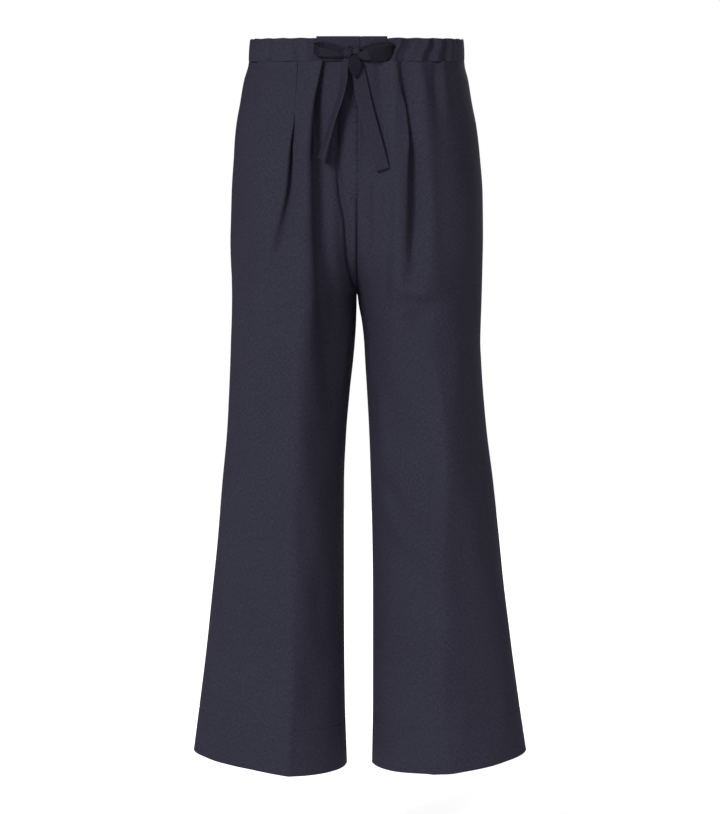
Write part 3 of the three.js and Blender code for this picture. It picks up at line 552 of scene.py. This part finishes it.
pleatOuterRight = {"opensTo": "centre", "rise": 44, "recover": 30, "path": table("down x turn lip under", [
    (31, 83.8, 180, 1.1, 4),
    (70, 85.4, 180, 1.3, 4),
    (100, 86.8, 178, 2.2, 5),
    (115, 88.6, 165, 3.6, 6),
    (140, 89.5, 120, 4.6, 4.6),
    (165, 91, 92, 5.4, 3.6),
    (205, 94.5, 78, 6, 3.2),
    (240, 101, 60, 6.8, 3.6),
    (275, 109, 42, 8.4, 4.4),
    (330, 123, 18, 11, 7),
    (400, 127, 3, 14, 9),
    (520, 130, 0, 17, 11),
    (760, 140, 0, 19, 13),
    (1052, 158, 0, 21, 14),
])}
pleatInnerRight = {"opensTo": "centre", "rise": 34, "recover": 58, "path": table("down x turn lip under", [
    (31, 51, 165, 3.6, 9),
    (60, 55.5, 140, 4.8, 8),
    (90, 60, 118, 6.8, 10),
    (125, 61, 98, 8.8, 12),
    (160, 61, 84, 9.8, 13),
    (205, 60, 77, 10.2, 14),
    (265, 59, 70, 10.8, 14),
    (320, 57.5, 60, 12.4, 15),
    (372, 57, 46, 15, 16),
    (424, 56, 32, 17, 16),
    (480, 51, 17, 18, 14),
    (540, 44, 6, 18, 14),
    (620, 44, 0, 18, 12),
    (1052, 52, 0, 18, 12),
])}
pleatLeft = {"opensTo": "side", "rise": 26, "recover": 32, "path": table("down x turn lip under", [
    (31, 57, 30, 6, 3),
    (72, 60, 90, 4.6, 3.4),
    (100, 63.5, 160, 3.6, 5.4),
    (140, 67.5, 140, 5, 7),
    (165, 69, 104, 6.4, 7.5),
    (200, 70, 84, 7.8, 8),
    (240, 71, 72, 8.8, 8),
    (290, 71, 56, 9.6, 8),
    (335, 70, 36, 10, 8),
    (385, 69, 16, 12, 8),
    (450, 72, 3, 16, 11),
    (560, 84, 0, 20, 14),
    (1052, 112, 0, 26, 18),
])}
frontRight = {"side": "Right", "face": "front", "seed": 3, "columns": (42, 22, 32),
              "pleats": [pleatOuterRight, pleatInnerRight], "folds": [
    [(27, 70, 0, 7), (25.5, 110, -2.6, 7), (23.5, 185, -3.6, 8), (17, 245, -4, 9), (12, 300, -3, 9),
     (9, 350, 0, 9)],
    [(27, 110, 0, 3.5), (26, 172, -2.6, 3.5), (21, 215, -4.6, 4), (12.5, 250, -6, 4), (8, 292, -6, 4),
     (4, 335, -4, 4), (1, 356, 0, 4)],
    [(38, 110, 0, 8), (36, 190, 2.4, 9), (32, 270, 3, 8), (24, 330, 1.6, 8), (18, 370, 0, 8)],
    [(90, 210, 0, 14), (96, 280, 3, 18), (102, 345, 6, 22), (103, 372, 5, 20), (104, 410, 0, 18)],
    [(82, 380, 0, 18), (84, 480, 3, 24), (90, 700, 4, 28), (94, 900, 4, 30), (98, 1052, 3, 30)],
    [(158, 690, 0, 12), (170, 790, -6, 15), (178, 900, -5, 17), (184, 1000, 0, 16)],
    [(118, 36, 2, 6), (124, 70, 3.6, 10), (129, 120, 4.8, 12), (130, 200, 4, 13), (127, 300, 0, 14)],
    [(142, 36, -2, 6), (144, 70, -2.4, 7), (148, 130, 0, 8)],
    [(88, 480, 0, 6), (91, 560, 1.8, 6), (94, 760, 2.2, 6), (98, 1000, 2, 6), (100, 1052, 1.6, 6)],
    [(72, 340, 0, 7), (84, 372, -2, 8), (101, 386, -2.2, 9), (120, 392, 0, 10)],
    [(7, 368, 0, 4), (9, 400, 1.4, 4), (14, 455, 1.6, 5), (20, 540, 0, 6)],
]}
frontLeft = {"side": "Left", "face": "front", "seed": 5, "columns": (60, 42), "pleats": [pleatLeft], "folds": [
    [(31, 34, -2, 6), (31, 60, -2.6, 7), (35, 100, -1.2, 8), (38, 140, 0, 8)],
    [(50, 34, 3, 7), (50, 70, 3.6, 8), (51, 150, 3, 8), (54, 260, 3, 9), (57, 330, 2.6, 10), (58, 400, 0, 10)],
    [(28, 170, 0, 6), (23, 235, -2.8, 6), (25, 262, -2.8, 6), (23, 310, -2.4, 7), (20, 350, 0, 7)],
    [(86, 34, 2.4, 7), (91, 70, 4.4, 9), (96, 150, 4.4, 12), (98, 260, 6, 15), (93, 320, 10, 24),
     (90, 346, 12, 24), (89, 368, 0, 20)],
    [(108, 34, -2, 5), (109, 70, -2.6, 6), (113, 120, -1.4, 8), (118, 160, 0, 8)],
    [(118, 34, 2, 5), (122, 80, 2.6, 7), (129, 130, 0, 8)],
    [(66, 372, -4, 18), (84, 392, -11, 30), (98, 430, -10, 38), (108, 520, 0, 34)],
    [(118, 480, 0, 6), (110, 560, 2.4, 7), (108, 700, 2.6, 7), (108, 860, 2.4, 7), (112, 1052, 2, 7)],
    [(30, 470, 0, 8), (36, 520, 4, 9), (40, 600, 2.4, 12), (44, 700, 0, 14)],
    [(30, 590, 0, 10), (44, 634, -3.2, 11), (66, 672, -4.4, 12), (92, 686, -3.4, 11), (114, 688, 0, 10)],
    [(26, 620, 0, 12), (44, 664, 2.8, 13), (66, 702, 4, 14), (92, 716, 2.8, 13), (112, 718, 0, 12)],
    [(108, 915, 0, 12), (96, 946, -2.4, 14), (66, 982, -3, 15), (36, 1008, -1, 14)],
    [(124, 420, 0, 18), (126, 560, 3.2, 22), (124, 760, 3.4, 24), (122, 900, 2.6, 24), (130, 1000, 0, 24)],
]}
backRight = {"side": "Right", "face": "back", "seed": 7, "columns": (100,), "pleats": [], "folds": [
    [(14, 34, 1.6, 5), (15, 70, 1.6, 7), (18, 120, 0, 8)],
    [(44, 34, 2, 6), (46, 80, 2.2, 8), (50, 150, 0, 10)],
    [(78, 34, 1.8, 6), (81, 76, 1.8, 8), (84, 120, 0, 9)],
    [(112, 34, 2, 6), (118, 84, 2, 8), (124, 140, 0, 10)],
    [(24, 330, 0, 10), (52, 372, -4, 13), (92, 410, -3.2, 15), (132, 430, 0, 14)],
    [(34, 400, 0, 12), (62, 446, -3, 14), (100, 474, 0, 15)],
    [(44, 610, 0, 12), (78, 640, -3.2, 14), (122, 652, 0, 14)],
    [(98, 470, 0, 22), (104, 640, 3, 26), (116, 860, 3.4, 28), (130, 1052, 2.6, 30)],
    [(70, 900, 0, 14), (92, 960, -2.6, 16), (120, 1000, 0, 16)],
]}
backLeft = {"side": "Left", "face": "back", "seed": 11, "columns": (100,), "pleats": [], "folds": [
    [(18, 34, 1.8, 5), (20, 78, 1.8, 7), (22, 110, 0, 8)],
    [(52, 34, 2.2, 6), (56, 90, 2.2, 9), (60, 165, 0, 10)],
    [(90, 34, 1.6, 6), (94, 74, 1.6, 8), (96, 130, 0, 9)],
    [(122, 34, 1.8, 6), (127, 80, 1.8, 8), (131, 128, 0, 9)],
    [(22, 322, 0, 10), (48, 358, -3.6, 12), (84, 396, -3.6, 15), (120, 426, 0, 14)],
    [(38, 420, 0, 12), (72, 462, -2.8, 14), (116, 486, 0, 15)],
    [(52, 640, 0, 12), (88, 668, -3.4, 14), (130, 676, 0, 14)],
    [(100, 480, 0, 22), (108, 660, 3, 26), (120, 860, 3.2, 28), (136, 1052, 2.6, 30)],
    [(60, 880, 0, 14), (86, 934, -2.6, 16), (112, 966, 0, 16)],
]}


def thicken(piece, thickness):
    shell = piece.modifiers.new("thickness", "SOLIDIFY")
    shell.thickness = thickness * 0.001
    shell.offset = 0


def makePanel(name, panel):
    grid = panelGrid(panel)
    rows, columns = grid["points"].shape[:2]
    flip = (panel["side"] == "Left") == (panel["face"] == "front")
    made = meshObject("cloth_" + name, grid["points"].reshape(-1, 3), gridFaces(rows, columns, flip=flip),
                      grid["uvs"].reshape(-1, 2), wool)
    thicken(made, form["shell"])
    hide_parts(*[name + "_" + stretch for stretch in ("hip", "thigh", "knee", "hem")])
    print(name, rows, columns)
    return made, grid


panels = {name: makePanel(name, panel) for name, panel in {
    "front_right": frontRight, "front_left": frontLeft, "back_right": backRight, "back_left": backLeft}.items()}


# Point on a panel's middle layer at a distance x from the centre, where its rows run one way across
def onPanel(name, x, down):
    grid = panels[name][1]
    rows = grid["downs"][:len(panelRows)]
    r = np.clip(np.searchsorted(rows, down) - 1, 0, len(rows) - 2)
    t = (down - rows[r]) / (rows[r + 1] - rows[r])
    found = []
    for row in (grid["points"][r], grid["points"][r + 1]):
        across = -np.abs(row[:, 0])
        found.append([np.interp(-abs(x), across, row[:, k]) for k in (0, 1, 2)])
    return mix(np.array(found[0]), np.array(found[1]), t)


# Fly: the right front's overlap, held down by a curved row of stitches. It sinks in at its edge and fades
# into the panel at the centre seam.
fly = {"width": 25, "top": 34.6, "bottom": 222, "curveFrom": 172, "corner": 0.97, "lift": 1.1, "edge": 1.7,
       "sink": 0.1, "fadeFrom": -0.6, "fadeTo": 4, "thickness": 0.8, "rows": 110, "columns": 30}


def flyEdge(down):
    turned = smoothStep(fly["curveFrom"], fly["bottom"], down)
    return fly["width"] * math.sqrt(max(0, 1 - turned ** 2 * fly["corner"]))


flyPoints, flyUvs = [], []
for down in np.linspace(fly["top"], fly["bottom"], fly["rows"]):
    width = flyEdge(down)
    for x in np.linspace(width, form["seamGap"] / 2 + 0.3, fly["columns"]):
        fromEdge = min(width - x, fly["bottom"] - down)
        lift = mix(-fly["sink"], fly["lift"], smoothStep(0, fly["edge"], fromEdge))
        lift *= smoothStep(fly["fadeFrom"], fly["fadeTo"], x)
        flyPoints.append(onPanel("front_right", x, down) - np.array([0, lift, 0]))
        flyUvs.append((-x, -down))
flyPiece = meshObject("cloth_fly", flyPoints, gridFaces(fly["rows"], fly["columns"]), flyUvs, wool)
thicken(flyPiece, fly["thickness"])
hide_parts("fly_panel")
print("fly")


# Short rounded thread stitches along a line of points, each half sunk in the cloth of the front
stitch = {"step": 2.7, "inset": 2.2, "stand": 0.3, "rings": 5, "sides": 6}


def stitchRow(name, line, gap, wide):
    line, out = np.asarray(line), np.array([0, -1, 0])
    lengths = np.concatenate([[0], np.cumsum(np.linalg.norm(np.diff(line, axis=0), axis=1))])
    rings, sides = stitch["rings"], stitch["sides"]
    points, faces = [], []
    for start in np.arange(stitch["step"] / 2, lengths[-1] - stitch["step"], stitch["step"]):
        at = np.linspace(start, start + stitch["step"] - gap, rings)
        middles = np.stack([np.interp(at, lengths, line[:, k]) for k in range(3)], -1)
        along = middles[-1] - middles[0]
        across = np.cross(along / np.linalg.norm(along), out)
        base = len(points)
        for i, middle in enumerate(middles):
            size = wide * math.sin(math.pi * (i + 0.35) / (rings - 0.3))
            for angle in np.arange(sides) * 2 * math.pi / sides:
                points.append(middle + out * (stitch["stand"] + math.sin(angle) / 2) * size
                              + across * math.cos(angle) / 2 * size)
        faces += [[base + corner for corner in face] for face in tubeFaces(rings, sides)]
    made = meshObject(name, points, faces, None, thread)


def onFly(x, down):
    return onPanel("front_right", x, down) - np.array([0, fly["lift"] + fly["thickness"] / 2, 0])


edgeLine = [onFly(max(0.4, flyEdge(down + 0.5) - stitch["inset"]), down)
            for down in np.linspace(fly["top"] + 1, fly["bottom"] - stitch["inset"], 90)]
stitchRow("stitches_fly", edgeLine, 0.8, 0.3)
# The stitches beside the opening and the bar that locks its lower end: x, down from and to, thread width
straightRows = {"stitches_opening": (1.8, 40, 214, 0.4), "stitches_bar": (9, 217, 224, 1.1)}
for name, (x, fromDown, toDown, wide) in straightRows.items():
    stitchRow(name, [onFly(x, down) for down in np.linspace(fromDown, toDown, 60)], 0.9, wide)
print("fly stitches")


# Waistband: plain doubled cloth at the centre front, and a gathered casing for the rest. Each piece has its
# ends as distances from the centre, how far its top lies below the waist's, whether it is gathered, and how
# deep each end is sunk where it runs on beneath its neighbour.
band = {"wall": 2.4, "puff": 0.7, "under": 6, "radius": 105, "seamDip": 0.6, "seamWide": 1.2, "back": 1.25}
bandPieces = {
    "band_front_right": {"from": -56, "to": 4.3, "steps": 60, "top": 0, "gathered": 0, "sunk": (0, 0)},
    "band_front_left": {"from": 4.3, "to": 42, "steps": 44, "top": 0, "gathered": 0, "sunk": (0.9, 0)},
    "band_casing": {"from": 42, "to": -56, "steps": 772, "top": 2.2, "gathered": 1, "sunk": (1.3, 1.3)},
}
# Gathers seen on the front: place, lean, sway, lift and half width
bandGathers = [
    (-140, 1, 0, 1.0, 4), (-131, 0, 0.5, 1.3, 4), (-121, 0, 0, -1.4, 4), (-111, 1, 0, 1.6, 5),
    (-99, 1, 0.5, 1.0, 5), (-89, 0, 0, 2.0, 4), (-79, 2, 0.5, -1.4, 4), (-68, 3, 1, 1.8, 4),
    (54, -9, 2, 4.2, 5), (70, -8, 2, -2.4, 6.5), (91, -9, 2, 4, 5.4), (102, -6, 1, -2.2, 4.4),
    (112, -5, 1, 3, 5), (121, -2, 0.5, -1.8, 4), (130, -1, 0.5, 2, 4.5),
]


def waistRing(angles, down):
    placed = np.empty((len(angles), 4))
    share = np.abs(np.arcsin(np.sin(angles))) / (math.pi / 2)
    for side, sign in (("Right", -1), ("Left", 1)):
        for face in ("front", "back"):
            here = ((np.sin(angles) < 0) == (side == "Right")) & ((np.cos(angles) > 0) == (face == "front"))
            line = sectionLine(side, face, down)
            x, y, outX, outY = placeOn(line, line["total"] * (1 - share[here]))
            placed[here] = np.stack([x * sign, y, outX * sign, outY], -1)
    return placed


def bandLift(placed, angles, down):
    height = down / form["bandHeight"]
    front = np.zeros(len(angles))
    for x, lean, sway, lift, wide in bandGathers:
        middle = x + lean * (height - 0.5) + sway * math.sin(2 * math.pi * height)
        front += lift * np.exp(-(((placed[:, 0] - middle) / wide) ** 2))
    wave = (np.sin(angles * 41 + 1.4 * np.sin(angles * 7) + 0.5 * math.sin(5 * height))
            * (0.8 + 0.45 * np.sin(angles * 9 + 1)) + 0.35 * np.sin(angles * 67 + 3 * height))
    fromSide = np.abs(np.abs((angles + math.pi) % (2 * math.pi) - math.pi) - math.pi / 2)
    back = band["back"] * wave * smoothStep(0, 0.3, fromSide) * (1 - 0.8 * smoothStep(0.6, 1, height))
    return np.where(np.cos(angles) > 0, front, back)


def angleAtX(x):
    angles = np.linspace(-math.pi / 2 + 1e-6, math.pi / 2 - 1e-6, 2000)
    return np.interp(x, waistRing(angles, form["bandHeight"] / 2)[:, 0], angles)


# A stretch of the band: its section runs up the outside, over the folded top edge and down the inside
def makeBand(name, piece):
    half, top = band["wall"] / 2, piece["top"]
    bottom = form["bandHeight"] - form["seamGap"]
    profile = [(bottom, half * 0.3), (bottom - 0.2, half * 0.6), (bottom - 0.7, half * 0.78),
               (bottom - 2, half * 0.9)]
    profile += [(down, half) for down in np.linspace(bottom - 4, top + 1.6, 15)]
    profile += [(top + half * (1 - math.sin(angle)), half * math.cos(angle))
                for angle in np.linspace(0.15, math.pi - 0.15, 7)]
    profile += [(down, -half) for down in np.linspace(top + 2, bottom - 0.4, 8)]
    sinkStart, sinkEnd = piece["sunk"]
    beneath = band["under"] / band["radius"]
    fromAngle = angleAtX(piece["from"]) - (beneath if sinkStart else 0)
    toAngle = angleAtX(piece["to"]) + (beneath if sinkEnd else 0)
    if piece["to"] < piece["from"]:
        toAngle += 2 * math.pi
    angles = np.linspace(fromAngle, toAngle, piece["steps"] + 1)
    fade = smoothStep(0, 0.05, np.minimum(angles - fromAngle, toAngle - angles))
    fromStart, toEnd = (angles - fromAngle) * band["radius"], (toAngle - angles) * band["radius"]
    sunk = (sinkStart * smoothStep(band["under"] + 5, band["under"] - 1, fromStart)
            + sinkEnd * smoothStep(band["under"] + 5, band["under"] - 1, toEnd))
    dips = band["seamDip"] * (np.exp(-((fromStart / band["seamWide"]) ** 2))
                              + np.exp(-((toEnd / band["seamWide"]) ** 2)))
    points, uvs = [], []
    run = 0.0
    for k, (down, offset) in enumerate(profile):
        placed = waistRing(angles, down)
        height = min(1, max(0, (down - top) / (bottom - top)))
        outside = offset > 0
        lift = (bandLift(placed, angles, down) * fade * piece["gathered"] + offset - sunk
                + (band["puff"] * math.sin(math.pi * height) - dips) * outside)
        if k:
            run += math.hypot(down - profile[k - 1][0], offset - profile[k - 1][1])
        wavy = 0.35 * np.sin(angles * 31 + 1) * (1 - height) * piece["gathered"]
        z = form["waistTop"] - down - 0.4 * sunk + wavy
        points.append(np.stack([placed[:, 0] + placed[:, 2] * lift, placed[:, 1] + placed[:, 3] * lift, z], -1))
        uvs.append(np.stack([fromStart, np.full(len(angles), run)], -1))
    points, uvs = np.array(points), np.array(uvs)
    rows, columns = points.shape[:2]
    last = (rows - 1) * columns
    faces = gridFaces(rows, columns, flip=True)
    faces += [[last + c, last + c + 1, c + 1, c] for c in range(columns - 1)]
    faces += [[r * columns for r in range(rows)], [r * columns + columns - 1 for r in range(rows)][::-1]]
    made = meshObject("cloth_" + name, points.reshape(-1, 3), faces, uvs.reshape(-1, 2), wool)
    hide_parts(name)
    print(name, rows, columns)
    return made


bands = {name: makeBand(name, piece) for name, piece in bandPieces.items()}


# Drawstring: a flat tape of the same wool, turned in at its edges and tied in a bow
tape = {"width": 20, "thickness": 1.5}


# Flat tape through points, with its width's direction at each, rounded edges and a faint hollow between them
def tapeShape(centres, across, widths, thickness, corner=0.32, around=20):
    centres, across = np.asarray(centres), np.asarray(across)
    along = np.gradient(centres, axis=0)
    along /= np.linalg.norm(along, axis=1)[:, None]
    across = across - (across * along).sum(1)[:, None] * along
    across /= np.linalg.norm(across, axis=1)[:, None]
    normals = np.cross(across, along)
    angles = np.linspace(0, 2 * math.pi, around, endpoint=False) + math.pi / around
    wide = np.sign(np.cos(angles)) * np.abs(np.cos(angles)) ** corner
    tall = np.sign(np.sin(angles)) * np.abs(np.sin(angles)) ** corner
    pinch = 1 - 0.22 * np.exp(-(((np.abs(wide) - 0.78) / 0.1) ** 2))
    points = (centres[:, None] + across[:, None] * (wide[None, :, None] * np.asarray(widths)[:, None, None] / 2)
              + normals[:, None] * (tall * pinch)[None, :, None] * thickness / 2)
    rows = len(centres)
    walked = np.concatenate([[0], np.cumsum(np.linalg.norm(np.diff(centres, axis=0), axis=1))])
    uvs = np.stack([np.broadcast_to(wide[None] * tape["width"] / 2, (rows, around)),
                    np.broadcast_to(walked[:, None], (rows, around))], -1)
    return points.reshape(-1, 3), tubeFaces(rows, around), uvs.reshape(-1, 2)


# One mesh from several shapes, each its points, faces and UVs
def joinedMesh(name, shapes, material):
    points, faces, uvs = [], [], []
    for shapePoints, shapeFaces, shapeUvs in shapes:
        first = sum(len(some) for some in points)
        faces += [[first + corner for corner in face] for face in shapeFaces]
        points.append(shapePoints)
        uvs.append(shapeUvs)
    return meshObject(name, np.concatenate(points), faces, np.concatenate(uvs), material)


def tapeMesh(name, centres, across, widths, thickness, material):
    made = joinedMesh(name, [tapeShape(centres, across, widths, thickness)], material)
    return made


# Smooth line through a few route points, and the other columns eased between them
def throughPoints(values, steps):
    values = np.asarray(values, float)
    padded = np.concatenate([[2 * values[0] - values[1]], values, [2 * values[-1] - values[-2]]])
    out = []
    for position in np.linspace(0, len(values) - 1, steps):
        i = min(len(values) - 2, int(position))
        t = position - i
        a, b, c, d = padded[i:i + 4]
        out.append(0.5 * (2 * b + (c - a) * t + (2 * a - 5 * b + 4 * c - d) * t**2
                          + (3 * b - a - 3 * c + d) * t**3))
    return np.array(out)


def tapeRoute(rows, steps):
    places = [(x, faceDepth(x, down) - stand, form["waistTop"] - down) for x, down, stand, _, _ in rows]
    centres = throughPoints(places, steps)
    opened, turned = throughPoints([(row[3], math.radians(row[4])) for row in rows], steps).T
    along = np.gradient(centres, axis=0)
    along /= np.linalg.norm(along, axis=1)[:, None]
    flat = np.cross((0, 1, 0), along)
    flat /= np.linalg.norm(flat, axis=1)[:, None]
    across = flat * np.cos(turned)[:, None] + np.cross(along, flat) * np.sin(turned)[:, None]
    return centres, across, tape["width"] * opened


# Route rows: x, down, how far it stands off the front, how far it lies open and its turn
tailRight = [(-12.3, 27.6, 7, 0.32, 0), (-16.8, 42, 8.6, 0.62, 40), (-17.8, 60, 11.6, 0.9, 62),
             (-23, 84, 12, 1, 68), (-32, 110, 11.6, 1, 70), (-40.6, 138, 11.6, 1, 70),
             (-50.3, 165, 11.8, 0.95, 70)]
tailLeft = [(-4.4, 27.2, 6.4, 0.38, 0), (1.6, 46, 5.8, 0.85, -2), (6.4, 72, 6, 1, -2), (12.2, 98, 6.6, 1, 0),
            (19.8, 126, 6.8, 1, 4), (27.4, 153, 6.6, 1, 4), (34.6, 180.5, 6, 1, 2)]
tongue = [(-6, 26, 11.85, 0.4, 0), (-3.4, 36, 12.8, 0.86, 0), (-2.8, 44, 12.8, 0.74, 0),
          (-2.6, 50, 12, 0.48, 0), (-2.4, 56, 11, 0.1, 0)]
tails = {}
for name, rows in (("tie_tail_right", tailRight), ("tie_tail_left", tailLeft)):
    centres, across, widths = tapeRoute(rows, 70)
    tails[name] = (tapeMesh("cord_" + name, centres, across, widths, tape["thickness"], tapeWool), centres)
    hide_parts(name)
# The tongue takes the painted-shade wool: a darker colour standing in for the shade it hangs in
centres, across, widths = tapeRoute(tongue, 26)
tonguePiece = tapeMesh("cord_tie_wrap", centres, across, widths, tape["thickness"], paintedShadeWool)
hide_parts("tie_wrap")

# Knot: a round core with the tape's turns over it. Turn rows are x, down, half length, depth, width, slope.
knot = {"x": -9, "down": 21, "width": 10.5, "height": 12, "depth": 9, "stand": 7.2, "ridge": 0.5, "rings": 39,
        "around": 64, "turnSteps": 34}
knotTurns = [(-9.4, 23.6, 7, 6.8, 3.9, 54), (-12, 21.8, 8.2, 8, 3.9, 52), (-14.8, 19.8, 7, 6.8, 3.9, 50),
             (-1.8, 20.6, 7, 5, 7, 6)]
knotY = faceDepth(knot["x"], knot["down"]) - knot["stand"]
tilt, turn = np.meshgrid(np.arange(1, knot["rings"] + 1) * math.pi / (knot["rings"] + 1),
                         np.arange(knot["around"]) * 2 * math.pi / knot["around"], indexing="ij")
x, y, z = np.sin(tilt) * np.cos(turn), np.sin(tilt) * np.sin(turn), np.cos(tilt)
ridge = knot["ridge"] * np.sin(7 * (x * 0.8 + z * 0.6))
core = np.stack([knot["x"] + x * (knot["width"] / 2 + ridge), knotY + y * (knot["depth"] / 2 + ridge),
                 form["waistTop"] - knot["down"] + z * (knot["height"] / 2 + ridge)], -1)
coreUvs = [(c / knot["around"] * 36, r * 0.6) for r in range(knot["rings"]) for c in range(knot["around"])]
knotShapes = [(core.reshape(-1, 3), tubeFaces(knot["rings"], knot["around"]), np.array(coreUvs))]
for x, down, halfLength, depth, width, slope in knotTurns:
    turns = np.radians(np.linspace(-115, 115, knot["turnSteps"]))
    run = np.array([math.cos(math.radians(slope)), 0, math.sin(math.radians(slope))])
    middle = np.array([x, knotY, form["waistTop"] - down])
    centres = middle + run * (halfLength * np.sin(turns))[:, None] - np.outer(depth * np.cos(turns), (0, 1, 0))
    across = np.tile((run[2], 0, -run[0]), (knot["turnSteps"], 1))
    widths = width * (0.75 + 0.25 * np.cos(turns))
    knotShapes.append(tapeShape(centres, across, widths, tape["thickness"]))
knotPiece = joinedMesh("cord_tie_knot", knotShapes, tapeWool)
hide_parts("tie_knot")

# Loops of the bow, out behind and back in front: rows are x, down, stand, width, and how far the top edge
# tips forward. The strands in front tip forward, so they are in shadow, and part of each carries painted shade
# too.
loopRight = [(-13, 21.5, 5.2, 6, 0), (-20, 20, 4.4, 10, 0), (-32, 17.8, 3.6, 15, 0),
             (-45, 16.4, 3.8, 17, 0), (-54, 15.8, 5, 16, 0), (-57.3, 17, 7.6, 13.5, 4),
             (-54.5, 20.2, 10.4, 13.5, 12), (-47, 21.8, 12, 12, 16), (-36, 23.2, 12, 9.4, 12),
             (-25, 24.8, 11, 5.6, 8), (-16.5, 25, 9.4, 4, 4)]
loopLeft = [(-4, 21, 5.4, 6, 0), (3, 20.2, 4.6, 8, 0), (14, 18.8, 3.8, 13, 0),
            (26, 17.4, 3.4, 18.5, 0), (38, 16.8, 3.8, 19, 0), (45, 16.6, 5.4, 17.5, 0),
            (48, 17.6, 8, 15.5, 6),
            (45, 19.4, 11, 16.5, 16), (38, 21.4, 13, 18.5, 22), (29, 22.4, 13.6, 18.5, 20),
            (19, 24.2, 13, 17, 16), (9, 26.2, 11.6, 12.5, 10), (1, 24.6, 10, 7, 4),
            (-4, 23, 9, 5, 0)]
loopSteps = 110


# "inner" gives the shares of the loop's run, round the tip and along the front strand, between which it takes
# the painted-shade wool, a darker colour standing in for shade
def loopMesh(name, rows, inner):
    places = [(row[0], faceDepth(row[0], row[1]) - row[2], form["waistTop"] - row[1]) for row in rows]
    centres = throughPoints(places, loopSteps)
    widths, tip = throughPoints([(row[3], math.radians(row[4])) for row in rows], loopSteps).T
    across = np.stack([np.zeros(loopSteps), -np.sin(tip), np.cos(tip)], -1)
    made = tapeMesh("cord_" + name, centres, across, widths, tape["thickness"], shadedLoopWool)
    made.data.materials.append(paintedShadeWool)
    around = len(made.data.vertices) // loopSteps
    for polygon in made.data.polygons:
        share = polygon.index / (around * loopSteps)
        polygon.material_index = int(inner[0] < share < inner[1])
    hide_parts(name)
    return made


loopPieces = {"tie_loop_right": loopMesh("tie_loop_right", loopRight, (0.3, 0.66)),
              "tie_loop_left": loopMesh("tie_loop_left", loopLeft, (0.36, 0.78))}
print("drawstring")


for name, fittings in (("tie_tail_right", [knotPiece, loopPieces["tie_loop_right"]]),
                       ("tie_tail_left", [tonguePiece, loopPieces["tie_loop_left"]])):
    piece, centres = tails[name]

print("done")
